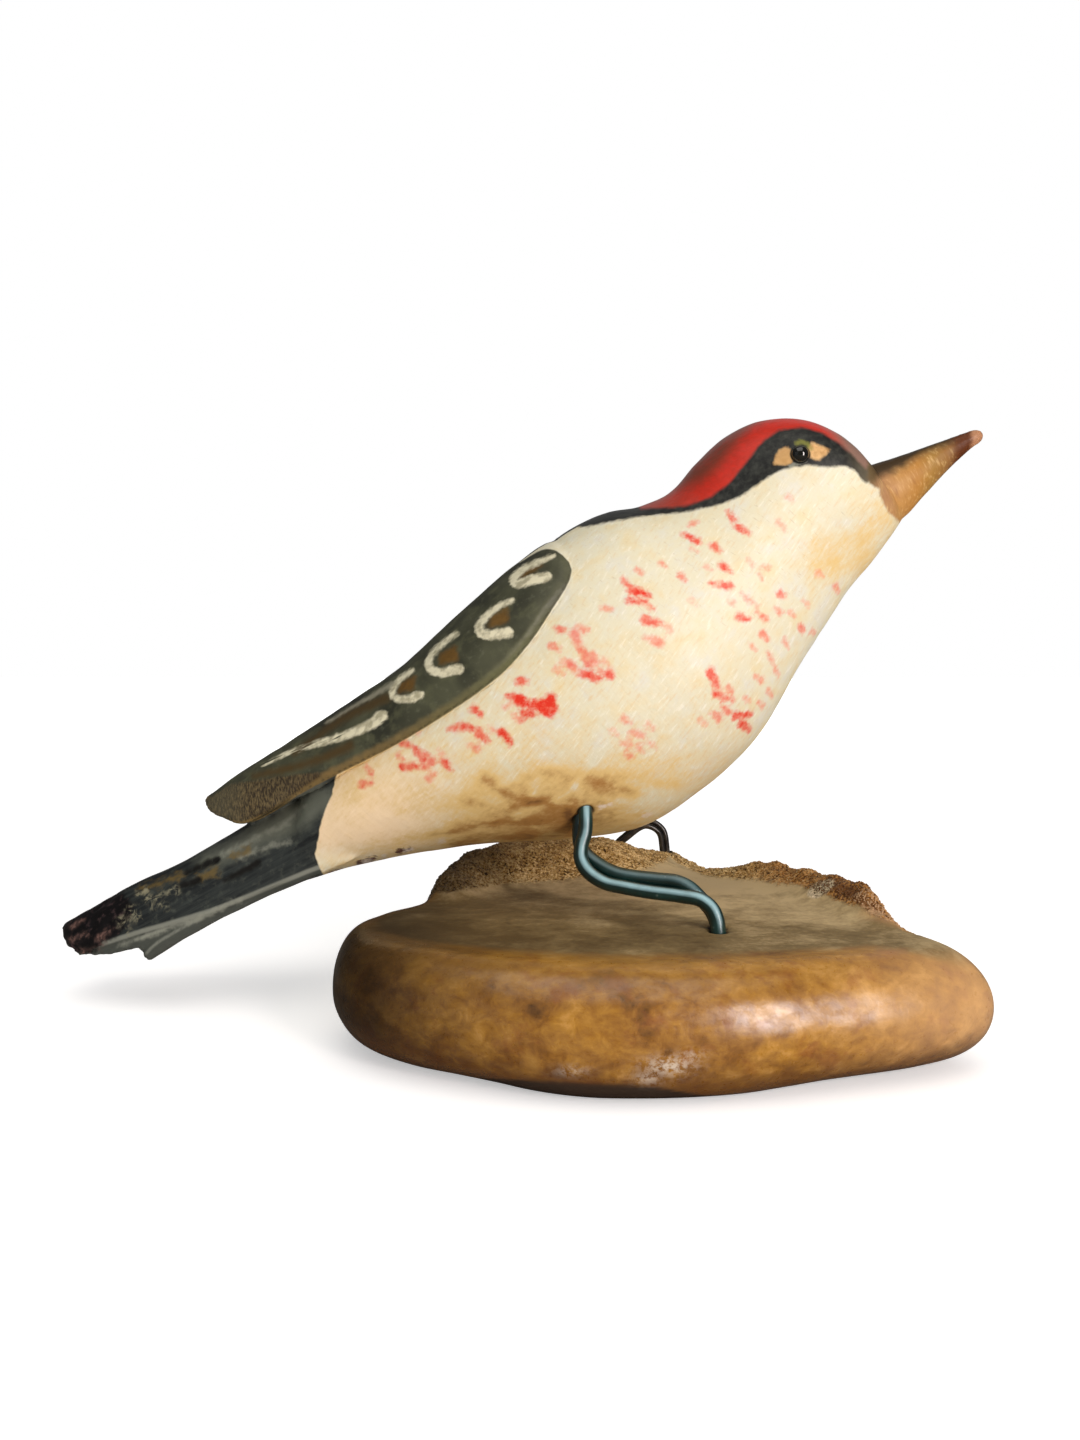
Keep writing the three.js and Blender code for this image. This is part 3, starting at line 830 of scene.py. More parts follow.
# Brush strokes: line, width, width at the end
strokes = {
    "marks": [  # hooked cream marks
        ([(553, 556), (540, 561.5), (526, 567.5), (514, 577.5), (517, 584), (533, 579.5), (547, 577)],
         4, 9.5),
        ([(512, 600.5), (498.5, 606.5), (485, 617.5), (479, 628), (486, 635), (508, 632.5)], 4, 10),
        ([(457, 633), (441, 645), (430.5, 657), (429, 667), (439, 672.5), (459, 669)], 4, 9),
        ([(412, 670.5), (399, 680.5), (392.5, 691), (395, 697.5), (407, 699.5), (420, 695)], 4, 7.5),
    ],
    "stripe": [([(382, 716), (366, 727), (344, 736), (316, 744), (288, 753), (262, 766)], 12, 2.5)],
    "backStripe": [([(392, 684), (370, 697), (347, 710), (326, 723)], 5, 2)],
    "bands": [
        ([(386, 698), (347, 716), (321, 734), (294, 753)], 9, 5),
        ([(350, 746), (318, 760), (290, 768), (254, 776)], 9, 5),
    ],
    "sheen": [([(318, 800), (280, 826), (240, 846), (206, 862)], 30, 14)],
    "streaks": [
        ([(303, 807), (284, 824), (253, 839), (222, 855)], 5, 2),
        ([(290, 842), (262, 849), (240, 858)], 3, 2),
        ([(240, 900), (200, 918), (150, 935), (118, 946)], 3, 2),
    ],
    "ochre": [
        ([(214, 871), (200, 878)], 9, 5), ([(181, 876), (160, 883), (140, 889)], 6, 3),
        ([(248, 850), (232, 856)], 6, 4),
    ],
    "chips": [
        ([(148, 898), (152, 904)], 6, 3), ([(157, 900), (163, 906)], 5, 3), ([(132, 910), (137, 918)], 7, 4),
        ([(166, 893), (176, 889)], 3, 2), ([(122, 921), (128, 930)], 4, 2), ([(140, 893), (146, 890)], 3, 2),
    ],
    "pink": [
        ([(72, 927), (82, 920)], 5, 3), ([(98, 938), (110, 930)], 4, 3), ([(72, 940), (80, 937)], 4, 2),
        ([(82, 952), (90, 950)], 4, 2), ([(100, 947), (106, 942)], 3, 2), ([(84, 932), (88, 936)], 2, 2),
    ],
    "quills": [(line, 2.5) for line in tailWork["quills"]],
    "gouges": [(ends, 7, 5) for ends in tailWork["gouges"]],
    "whiteFleck": [
        ([(600, 807), (606, 805.5), (612, 804)], 3.5, 2), ([(644, 816), (651, 814)], 3, 2),
        ([(405, 851), (412, 849)], 3, 2), ([(364, 862), (370, 860)], 3, 2),
        ([(439, 842), (444, 841)], 2.5, 2), ([(383, 856), (386, 855)], 2.5, 2),
    ],
    "darkFleck": [
        ([(359, 863), (376, 858)], 5, 3), ([(398, 852), (410, 849)], 5, 3),
        ([(330, 874), (342, 870)], 5, 3),
    ],
    "eyeYellow": [([(797, 443), (801, 441.5), (807, 444), (811, 449)], 5, 4)],
    "eyeFlecks": [([(790, 466), (797, 463.5), (806, 461)], 4, 3)],
}
fewerBehind = ("chips", "pink")

# Red dabs: start u, v, end u, v, width in pixels, strength
dabs = [
    (728, 511, 734, 520, 6, 0.75), (738, 527, 749, 534, 6, 0.85), (690, 525, 698, 521, 5, 0.6),
    (683, 534, 697, 541, 7, 0.9), (713, 546, 720, 551, 7, 0.75), (722, 566, 731, 572, 6, 0.85),
    (711, 583, 730, 586, 6, 0.85), (779, 522, 784, 530, 5, 0.35), (788, 496, 793, 501, 4, 0.3),
    (764, 566, 768, 568, 5, 0.35), (760, 573, 762, 579, 4, 0.35), (780, 594, 785, 597, 7, 0.65),
    (742, 594, 747, 598, 5, 0.5), (750, 601, 758, 607, 4, 0.4), (739, 617, 749, 619, 7, 0.8),
    (757, 613, 767, 619, 5, 0.6), (818, 573, 823, 576, 6, 0.35), (835, 586, 839, 592, 7, 0.5),
    (799, 625, 803, 630, 7, 0.65), (811, 631, 815, 635, 5, 0.45), (762, 634, 768, 641, 7, 0.6),
    (768, 653, 772, 661, 6, 0.5), (784, 640, 789, 648, 5, 0.4), (751, 645, 756, 650, 4, 0.35),
    (623, 579, 632, 590, 7, 0.8), (632, 590, 649, 595, 9, 0.95), (629, 600, 645, 602, 7, 0.8),
    (643, 604, 652, 608, 5, 0.5), (645, 620, 662, 624, 9, 0.75), (604, 608, 611, 610, 6, 0.4),
    (637, 569, 641, 573, 5, 0.45), (661, 563, 665, 567, 5, 0.4), (680, 575, 685, 580, 6, 0.65),
    (646, 638, 660, 642, 8, 0.5), (668, 627, 671, 632, 5, 0.3), (692, 548, 697, 552, 4, 0.3),
    (555, 627, 563, 631, 6, 0.7), (552, 646, 560, 650, 7, 0.6), (574, 634, 580, 648, 9, 0.6),
    (580, 648, 590, 662, 11, 0.65), (570, 664, 578, 674, 8, 0.6), (586, 674, 600, 679, 10, 0.8),
    (600, 671, 610, 675, 8, 0.75), (563, 660, 570, 666, 6, 0.4), (592, 655, 598, 668, 7, 0.45),
    (577, 625, 586, 630, 6, 0.4), (604, 660, 610, 668, 5, 0.35), (556, 670, 563, 674, 5, 0.35),
    (507, 696, 519, 699, 9, 0.95), (520, 681, 527, 682, 8, 0.85), (519, 701, 534, 706, 10, 0.95),
    (534, 704, 549, 708, 16, 1.0), (551, 698, 555, 710, 9, 1.0), (524, 713, 536, 714, 8, 0.9),
    (513, 716, 521, 720, 6, 0.6), (505, 707, 511, 703, 4, 0.5), (474, 709, 480, 714, 8, 0.8),
    (448, 729, 458, 728, 7, 0.75), (462, 726, 480, 731, 8, 0.8), (479, 733, 487, 741, 9, 0.75),
    (469, 745, 477, 749, 7, 0.5), (502, 732, 507, 737, 9, 0.95), (507, 738, 511, 744, 7, 0.9),
    (490, 726, 494, 731, 4, 0.35), (414, 728, 418, 733, 6, 0.4), (403, 743, 411, 746, 8, 0.7),
    (414, 748, 424, 758, 9, 0.75), (425, 756, 436, 762, 8, 0.7), (403, 767, 418, 766, 8, 0.75),
    (420, 768, 430, 764, 6, 0.65), (445, 763, 451, 770, 8, 0.85), (429, 779, 435, 774, 6, 0.55),
    (366, 767, 371, 773, 6, 0.5), (361, 784, 372, 783, 7, 0.65), (398, 756, 404, 760, 5, 0.4),
    (438, 750, 443, 755, 5, 0.35), (711, 673, 718, 690, 9, 0.8), (716, 694, 733, 700, 7, 0.7),
    (722, 706, 729, 712, 7, 0.6), (735, 716, 752, 714, 9, 0.9), (741, 723, 750, 731, 9, 0.8),
    (712, 713, 719, 719, 7, 0.6), (728, 688, 733, 692, 5, 0.5), (700, 720, 706, 725, 5, 0.35),
    (755, 676, 762, 681, 6, 0.5), (768, 690, 773, 697, 6, 0.4), (745, 698, 751, 702, 4, 0.35),
    (758, 702, 763, 707, 5, 0.4), (623, 719, 631, 723, 6, 0.45), (633, 733, 644, 736, 7, 0.45),
    (622, 742, 630, 744, 6, 0.4), (638, 746, 643, 752, 6, 0.45), (648, 724, 653, 729, 5, 0.3),
    (626, 752, 630, 757, 6, 0.5), (650, 742, 656, 747, 4, 0.3), (612, 730, 617, 735, 4, 0.25),
    (775, 608, 781, 613, 5, 0.4), (790, 612, 795, 617, 5, 0.4), (775, 669, 779, 676, 5, 0.4),
    (728, 600, 733, 603, 4, 0.3), (706, 566, 711, 570, 4, 0.3), (749, 560, 753, 566, 4, 0.3),
    (803, 600, 808, 606, 5, 0.3), (691, 600, 696, 604, 4, 0.25),
]
toneBlobs = [
    # soft patches of warm brown, partly stain and partly painted shade low on the belly: place u, v, reach u,
    # v, strength (paler below nought)
    (440, 846, 150, 24, 0.05), (395, 824, 60, 24, -0.12), (350, 842, 34, 26, -0.08),
    (480, 740, 130, 60, 0.08), (740, 750, 80, 40, 0.03), (826, 558, 34, 30, 0.26), (868, 552, 26, 44, 0.16),
    (800, 650, 40, 50, 0.02), (560, 655, 50, 26, 0.1), (545, 700, 60, 40, 0.06), (400, 780, 90, 50, 0.06),
    (640, 765, 60, 22, 0.12), (884, 516, 22, 28, 0.16), (700, 700, 34, 26, 0.08), (555, 802, 80, 24, 0.34),
    (350, 800, 20, 60, 0.06), (646, 802, 34, 20, -0.14), (540, 822, 60, 14, 0.16),
]
stains = [
    # brushed or rubbed streaks: line, width, width at the end, softness, strength (paler below nought)
    ([(530, 776), (560, 774), (590, 783), (622, 788)], 9, 5, 14, 0.28),
    ([(486, 776), (504, 792), (545, 800)], 7, 6, 13, 0.24),
    ([(556, 806), (580, 807), (612, 812)], 7, 6, 12, 0.24),
    ([(566, 790), (544, 800), (512, 806)], 4, 4, 9, 0.24),
    ([(512, 808), (486, 817), (452, 828)], 5, 3, 9, 0.24),
    ([(452, 845), (500, 833), (566, 830)], 8, 12, 11, 0.36), ([(568, 813), (572, 830)], 5, 5, 8, 0.5),
    ([(596, 822), (622, 820), (640, 816)], 6, 4, 9, 0.22),
    ([(604, 746), (592, 765), (577, 784)], 5, 3, 8, -0.36),
    ([(574, 788), (552, 801), (514, 815)], 3, 3, 7, -0.4), ([(537, 780), (535, 794)], 8, 6, 10, -0.26),
    ([(330, 886), (400, 869), (470, 850), (530, 838)], 4, 5, 9, 0.4),
    ([(400, 812), (450, 806), (490, 792)], 5, 3, 12, 0.2),
    ([(372, 842), (420, 836), (470, 826)], 4, 3, 9, 0.2),
    ([(560, 772), (530, 778), (505, 792)], 4, 3, 10, 0.2),
    ([(606, 776), (640, 778), (676, 786)], 3, 3, 10, 0.26),
    ([(494, 789), (518, 799), (550, 802)], 5, 3, 6, 0.36), ([(484, 778), (492, 781)], 9, 6, 8, 0.26),
    ([(590, 776), (606, 786), (634, 792)], 14, 7, 8, 0.34),
    ([(448, 822), (500, 823), (576, 818)], 3, 5, 5, 0.3),
    ([(512, 818), (470, 829), (430, 836)], 3, 2, 4, 0.24), ([(470, 802), (508, 812)], 3, 2, 5, 0.22),
]
touches = {
    "farDrift": 2.5,  # pixels: the hidden side was painted by the same hand, not copied
    "farPlainer": 0.4,
    "farNoise": 0.008,  # size of its drift, in metres
    "farSeeds": (21, 22),
    "wingGrow": 0.27,
    "rimWidth": 0.95,
    "saddle": 4.4,  # half width of the dark saddle joining the mask to the wings
    "saddleEnd": 0.011,
    "saddleFacing": 0.3,  # how far a face turns up to be on the back
    "stripeFades": (372, 250),
    # painted shade: more tone where faces turn down, with some stain
    "underShadeAndStain": 0.16,
    "underFacing": (-0.4, -1.0),
    # more tone lower down: darker towards the bottom
    "lowDarkening": 0.12,
    "lowHeights": (0.054, 0.030),  # metres
    "mostTone": 1.3,
    "farSkip": 4,  # the far side has three dabs for four
    "farShift": 0.0012,  # metres that a dab there lies off the near one's mirror
    "farSwing": (2.4, 1.7),
    "dabTaper": 0.5,
    "noDab": -5.0,  # where no dab is near
}


def paintBird(item):
    points = pointsOf(item)
    normals = normalsOf(item)
    behind = points[:, 1] > 0
    x, z = points[:, 0] / mm, points[:, 2] / mm
    u, v = nearPixelOf(points)
    drift = np.where(behind, touches["farDrift"], 0.0)
    u = u + drift * softNoise(points, touches["farNoise"], touches["farSeeds"][0])
    v = v + drift * softNoise(points, touches["farNoise"], touches["farSeeds"][1])
    edge = wingEdge()
    wing = insideOutline(x, z, edge + bird["aboveWings"]) + touches["wingGrow"]
    setLayer(item, "wing", np.minimum(wing, insideOutline(u, v, wingFront) * pixelSize))
    rim = np.min([toSegment(x, z, start, end)[0] for start, end in zip(edge[:-1], edge[1:])], 0)
    setLayer(item, "rim", touches["rimWidth"] - rim)
    setLayer(item, "rust", np.max([insideOutline(u, v, one) for one in rustPlaces], 0) * pixelSize)
    for name, outline in paintPlaces.items():
        inside = insideOutline(u, v, outline) * pixelSize
        if name == "mask":
            onBack = (points[:, 0] < touches["saddleEnd"]) & (normals[:, 2] > touches["saddleFacing"])
            saddle = touches["saddle"] - np.abs(points[:, 1]) / mm
            inside = np.where(onBack, np.maximum(inside, saddle), inside)
        setLayer(item, name, inside)
    for name, lines in strokes.items():
        plainer = np.where(behind, touches["farPlainer"], 0.0) if name in fewerBehind else 0.0
        setLayer(item, name, np.max([insideStroke(u, v, *one) for one in lines], 0) * pixelSize - plainer)
    setLayer(item, "stripeEnd", easeStep(*touches["stripeFades"], u))
    setLayer(item, "below", belowRidge(u, v))
    setLayer(item, "along", x)
    setLayer(item, "tone", paintTone(u, v, points, normals))
    mirrored = np.stack([x, np.abs(points[:, 1]) / mm, z], 1)
    setLayer(item, "eyeGap", np.linalg.norm(mirrored - eyes["place"], axis=1))
    setLayer(item, "wireGap", wireGap(points))
    paintDabs(item, points)


# tone over the cream: stain patches and brushed streaks, painted shade where faces turn down, and darker
# towards the bottom
def paintTone(u, v, points, normals):
    tone = np.zeros(len(points))
    for placeU, placeV, reachU, reachV, strength in toneBlobs:
        tone += strength * np.exp(-((u - placeU) / reachU) ** 2 - ((v - placeV) / reachV) ** 2)
    for line, wide, wideEnd, softness, strength in stains:
        tone += strength * easeStep(-softness, softness, insideStroke(u, v, line, wide, wideEnd))
    tone += touches["underShadeAndStain"] * easeStep(*touches["underFacing"], normals[:, 2])
    tone += touches["lowDarkening"] * easeStep(*touches["lowHeights"], points[:, 2])
    return np.clip(tone, 0, touches["mostTone"])


def paintDabs(item, points):
    surface = surfaceOf(item)
    best = np.full(len(points), touches["noDab"])
    strength = np.zeros(len(points))
    swingX, swingZ = touches["farSwing"]
    for at, (u0, v0, u1, v1, width, power) in enumerate(dabs):
        ends = [surface.ray_cast(Vector(eyePoint), rayAt(u, v))[0] for u, v in ((u0, v0), (u1, v1))]
        if None in ends:
            continue
        skipped = at % touches["farSkip"] == touches["farSkip"] - 1
        for hand in (1.0,) if skipped else (1.0, -1.0):
            start, end = (np.array([p.x, p.y * hand, p.z]) for p in ends)
            if hand < 0:
                shift = np.array([np.sin(at * swingX), 0, np.cos(at * swingZ)]) * touches["farShift"]
                start, end = start + shift, end + shift
            gap, share = alongRun(points, start, end)
            taper = 1 - touches["dabTaper"] * (share if at % 3 else 1 - share)
            inside = width * pixelSize / 2 * taper - gap / mm
            closer = inside > best
            best = np.where(closer, inside, best)
            strength = np.where(closer, power, strength)
    setLayer(item, "dabs", best)
    setLayer(item, "dabPower", strength)


# Bird paint colours
paint = {
    "cream": "#dad4b8", "creamWarm": "#dec993", "creamGrey": "#d6d4c6", "brushTan": "#d4b47e",
    # the rump colour is partly its own paint and partly painted light
    "brushPale": "#f2eee2", "rump": "#f4d6ac", "crack": "#a98f60",
    "tan": "#dcbb78", "brown": "#a87a42", "umber": "#7a5530", "darkFleck": "#5a3022", "whiteFleck": "#e6d5c2",
    "dabStrong": "#db2f16", "dabFaint": "#ec7c63",
    "charcoal": "#151716", "charcoalWorn": "#383a34", "charcoalBill": "#69604c",
    "red": "#a42615", "redDeepAndSheen": "#723a28", "redBright": "#c82612", "redNape": "#86402f",
    "redBrow": "#87695b",
    "eyePatch": "#bd9058", "eyePatchPale": "#deb57c", "eyePatchRear": "#b08850", "eyeFleck": "#9a9d8c",
    "yellow": "#7f8030", "eyeRing": "#15160f",
    "billRamp": [(0.0, "#a87d58"), (0.25, "#b8884a"), (0.5, "#ae7a35"), (0.72, "#9d7532"), (1.0, "#805630")],
    "billPale": "#d9b678", "billBrown": "#8f5c28", "billDarkAndShade": "#3e2b09", "billTip": "#a97956",
    "billBurnt": "#5c2c06", "billRoot": "#6d5b3d",
    "wing": "#4f503b", "wingDark": "#2f3024", "wingPatch": "#5c5d42", "wingDust": "#6c6d58",
    "band": "#4c3c1e",
    "rimGreen": "#6b6c49", "rimBrown": "#8f7341", "rimDull": "#4d4a35", "rimLine": "#36331f",
    "mark": "#dcd5b6", "markWorn": "#a8a184", "markFaint": "#a9a38c",
    "rust": "#7a5822", "rustDark": "#4d3813",
    "tipSide": "#71613f", "tipDark": "#352b1c", "tipBrown": "#4a3a24", "tipGreen": "#5d5a45",
    "tail": "#343936", "tailDeep": "#1b1f20", "tailPale": "#4a4d45", "tailDust": "#5a5e52",
    "tailSheen": "#6f7264", "tailStreak": "#8d8f80", "quillPaleAndLit": "#8b8d80", "gouge": "#161511",
    "ochre": "#77602a", "chip": "#8b866c", "pink": "#6d5148",
    "charred": "#0e0a0b", "charredBlue": "#2c1c26", "charredPale": "#4a3838",
    # painted shade in the holes where the wires go in
    "holeShade": "#2a1a10",
}
# How each painted edge was brushed, in millimetres: softness, wobble, size of the wobble, growth
brushEdges = {
    "wingTip": (0.3, 0.2, 1.0, 0.0), "darkFleck": (0.2, 0.6, 0.6, 0.0),
    "whiteFleck": (0.3, 0.5, 0.5, 0.0), "dabs": (0.45, 0.6, 0.75, 0.08), "mask": (0.28, 0.3, 1.0, 0.0),
    "cap": (0.35, 0.25, 1.6, 0.0), "eyeFront": (0.3, 0.25, 0.6, 0.0), "eyeRear": (0.3, 0.25, 0.6, 0.0),
    "eyeFlecks": (0.15, 0.2, 0.4, 0.0), "eyeYellow": (0.25, 0.3, 0.5, 0.0),
    "billTop": (0.85, 0.5, 1.4, -0.1), "bill": (0.34, 0.4, 0.9, 0.0), "sheen": (1.6, 1.2, 2.0, 0.0),
    "quills": (0.2, 0.1, 1.0, 0.0), "streaks": (0.5, 0.9, 1.3, 0.0), "ochre": (0.7, 1.4, 0.9, 0.0),
    "gouges": (0.35, 0.4, 1.0, 0.0), "charred": (0.5, 0.9, 1.1, 0.0), "chips": (0.7, 0.9, 0.9, 0.3),
    "pink": (0.45, 0.8, 0.9, 0.1), "tail": (0.14, 0.2, 1.4, 0.0), "rim": (0.45, 0.35, 1.5, 0.0),
    "bands": (0.6, 0.4, 1.5, 0.0), "rust": (0.5, 0.4, 1.0, 0.2), "marks": (0.26, 0.34, 0.8, 0.06),
    "stripe": (0.25, 0.3, 1.0, 0.0), "backStripe": (0.3, 0.3, 1.0, 0.0), "wing": (0.12, 0.05, 1.0, 0.0),
}
# Where one colour gives way to the next: from, to, share there, share before. The lengths are millimetres
# along the bird, and metres for the rump and the cracks
paintZones = {
    "rumpBack": (-0.004, -0.024), "rumpHigh": (0.044, 0.032, 0.85), "rumpLow": (0.021, 0.027),
    "crackHeight": (0.052, 0.066, 1.0, 0.35),
    "maskWorn": (43.5, 48.5, 0.75), "nape": (26.0, 17.0, 0.65), "brow": (40.5, 46.0),
    "billLength": (49.0, 66.0), "billRoot": (51.5, 47.5, 0.8), "billBurnt": (62.4, 64.8),
    "billTip": (66.6, 67.6),
    "rim": (2.6, -3.0, 0.75, 0.1), "rimColour": (-30.0, -4.0),
    "tipBrown": (-38.0, -26.0, 0.6), "tipGreen": (-43.0, -49.0, 0.45),
    "eyeRing": (1.62, 1.38), "wireHoleShade": (1.6, 1.05),  # distance to the eye, and to a wire
}


def edgeMask(tree, name):
    softness, wobble, size, grow = brushEdges[name]
    distance = plus(layerOf(tree, name), grow) if grow else layerOf(tree, name)
    values = {"Distance": distance, "Softness": softness, "Wobble": wobble, "Size": size}
    return useGroup(tree, "edge", values)


def zoneOf(value, name):
    return fade(value, *paintZones[name])


def paintNoises(tree):
    return {
        "wide": noiseNode(tree, 9.0, detail=3.0, distortion=0.4),
        "fine": noiseNode(tree, 1.1, detail=5.0, rough=0.65),
        "patch": noiseNode(tree, 3.4, detail=4.0, distortion=0.2, rough=0.6),
        "brushed": streaks(tree, size=0.9, stretch=(0.25, 1.0, 1.0), turn=(0.0, -0.75, 0.0), contrast=1.4),
        "grain": streaks(tree, size=0.55, stretch=(0.06, 0.2, 1.0), turn=(0.0, 0.5, 0.0), contrast=1.3),
        "strokes": streaks(tree, size=0.4, stretch=(1.0, 0.4, 0.2), turn=(0.0, -0.62, 0.0), contrast=1.8),
        "rasp": streaks(tree, size=0.21, stretch=(1.0, 0.3, 0.28), turn=(0.0, 0.15, 0.0), contrast=1.7),
        "along": layerOf(tree, "along"),
        "tip": edgeMask(tree, "wingTip"),
    }


def groundPaint(tree, by):  # mottled cream, toned tan and brown by stain, by painted shade where faces turn down, and darker towards the bottom
    axes = axesOf(tree)
    x, z = axes["X"], axes["Z"]
    # paler, warmer rump: partly its own paint and partly painted light
    rump = times(zoneOf(x, "rumpBack"), zoneOf(z, "rumpHigh"), zoneOf(z, "rumpLow"))
    cracked = streaks(tree, size=0.24, stretch=(1.0, 0.5, 0.14), turn=(0.0, 0.95, 0.0), contrast=2.2)
    crackLines = fade(cracked, 0.74, 0.95, 0.32)
    blotches = noiseNode(
        tree, 2.6, detail=5.0, stretch=(0.6, 1.0, 1.0), turn=(0.0, 0.3, 0.0), distortion=0.25, rough=0.6)
    uneven = plus(times(fade(blotches, 0.25, 0.75), 0.6), 0.7)
    tone = plus(
        times(layerOf(tree, "tone"), uneven), sway(by["wide"], 0.12), sway(by["brushed"], 0.18),
        sway(by["grain"], 0.16), sway(by["strokes"], 0.14))
    return coats(
        mixNode(fade(by["patch"], 0.48, 0.72, 0.5), paint["cream"], paint["creamWarm"]),
        (fade(by["patch"], 0.5, 0.3, 0.7), paint["creamGrey"]),
        (fade(by["strokes"], 0.58, 0.85, 0.3), paint["brushTan"]),
        (fade(by["strokes"], 0.4, 0.15, 0.35), paint["brushPale"]),
        (rump, paint["rump"]),
        (times(crackLines, zoneOf(z, "crackHeight")), paint["crack"]),
        (fade(tone, 0.03, 0.42, 0.95), paint["tan"]),
        (fade(tone, 0.34, 0.85), paint["brown"]),
        (fade(tone, 0.8, 1.2), paint["umber"]),
        (edgeMask(tree, "darkFleck"), paint["darkFleck"]),
        (edgeMask(tree, "whiteFleck"), paint["whiteFleck"]))


def dabPaint(tree):  # red dabs, brushed thin in places
    power = plus(layerOf(tree, "dabPower"), sway(noiseNode(tree, 0.9, detail=3.0), 0.9), clamp=True)
    cover = times(edgeMask(tree, "dabs"), plus(times(power, 0.75), 0.25), clamp=True)
    return cover, mixNode(power, paint["dabFaint"], paint["dabStrong"])


def maskPaint(tree, by):
    charcoal = mixNode(fade(by["fine"], 0.35, 0.75), paint["charcoal"], paint["charcoalWorn"])
    paleBlend = zoneOf(by["along"], "maskWorn")
    return edgeMask(tree, "mask"), mixNode(paleBlend, charcoal, paint["charcoalBill"])


def capPaint(tree, by):
    # brighter red near the cap's edges, browner in the middle: the brown partly paint and partly a painted
    # reflection
    deep = fade(plus(layerOf(tree, "cap"), by["brushed"]), 1.9, 4.4)
    red = coats(
        mixNode(deep, paint["redBright"], paint["redDeepAndSheen"]),
        (fade(by["brushed"], 0.2, 0.8, 0.45), paint["red"]),
        (zoneOf(by["along"], "nape"), paint["redNape"]),
        (zoneOf(by["along"], "brow"), paint["redBrow"]))
    return edgeMask(tree, "cap"), red


def eyePaint(tree, by):
    front, rear = (edgeMask(tree, name) for name in ("eyeFront", "eyeRear"))
    patch = mixNode(fade(by["fine"], 0.3, 0.7), paint["eyePatch"], paint["eyePatchPale"])
    return [
        (most(front, rear), patch),
        (times(rear, 0.6), paint["eyePatchRear"]),
        (times(edgeMask(tree, "eyeFlecks"), 0.6), paint["eyeFleck"]),
        (times(edgeMask(tree, "eyeYellow"), 0.75), paint["yellow"]),
        (zoneOf(layerOf(tree, "eyeGap"), "eyeRing"), paint["eyeRing"]),
    ]


def billPaint(tree, by):
    along = by["along"]
    grain = streaks(tree, size=0.5, stretch=(1.0, 1.0, 0.16), turn=(0.0, 0.45, 0.0), contrast=1.5)
    colour = coats(
        rampNode(zoneOf(along, "billLength"), paint["billRamp"]),
        (fade(grain, 0.52, 0.85, 0.6), paint["billPale"]),
        (fade(grain, 0.45, 0.15, 0.5), paint["billBrown"]),
        # darker along the bill's top: partly dark brown paint, partly painted shade
        (edgeMask(tree, "billTop"), paint["billDarkAndShade"]),
        (zoneOf(along, "billRoot"), paint["billRoot"]),
        (zoneOf(along, "billBurnt"), paint["billBurnt"]),
        (zoneOf(plus(along, times(by["fine"], 1.2)), "billTip"), paint["billTip"]))
    return edgeMask(tree, "bill"), colour


def tailPaint(tree, by):
    fine, below = by["fine"], layerOf(tree, "below")
    ridge = times(fade(below, -0.55, -0.1), fade(below, 0.55, 0.15), 0.75)
    char = coats(
        mixNode(specks(tree, size=1.0, cover=0.12), paint["charred"], paint["charredBlue"]),
        (fade(fine, 0.54, 0.68, 0.7), paint["charredPale"]))
    crumbs = fade(noiseNode(tree, 1.1, detail=4.0, distortion=0.8, rough=0.6), 0.46, 0.64)
    pink = times(edgeMask(tree, "pink"), fade(crumbs, 0.0, 0.5, 1.0, 0.35))
    colour = coats(
        mixNode(fade(by["grain"], 0.3, 0.75), paint["tailDeep"], paint["tail"]),
        (fade(by["wide"], 0.45, 0.7, 0.6), paint["tail"]),
        (fade(fine, 0.5, 0.75, 0.4), paint["tailDust"]),
        (times(edgeMask(tree, "sheen"), 0.75), paint["tailSheen"]),
        (fade(below, -0.1, 0.4, 0.8), paint["tailPale"]),
        # pale along the ridge and quill lines: partly paint, partly painted highlight where the carved ridges
        # catch the light
        (ridge, paint["quillPaleAndLit"]),
        (times(edgeMask(tree, "quills"), 0.6), paint["quillPaleAndLit"]),
        (times(edgeMask(tree, "streaks"), 0.75), paint["tailStreak"]),
        (times(edgeMask(tree, "ochre"), 0.6), paint["ochre"]),
        (edgeMask(tree, "gouges"), paint["gouge"]),
        (edgeMask(tree, "charred"), char),
        (times(edgeMask(tree, "chips"), crumbs), paint["chip"]),
        (pink, paint["pink"]))
    return edgeMask(tree, "tail"), colour


def tipPaint(by):  # rasped side of the wing tip
    return coats(
        mixNode(fade(by["rasp"], 0.3, 0.8), paint["tipDark"], paint["tipSide"]),
        (zoneOf(plus(by["along"], times(by["fine"], 6.0)), "tipBrown"), paint["tipBrown"]),
        (zoneOf(by["along"], "tipGreen"), paint["tipGreen"]))


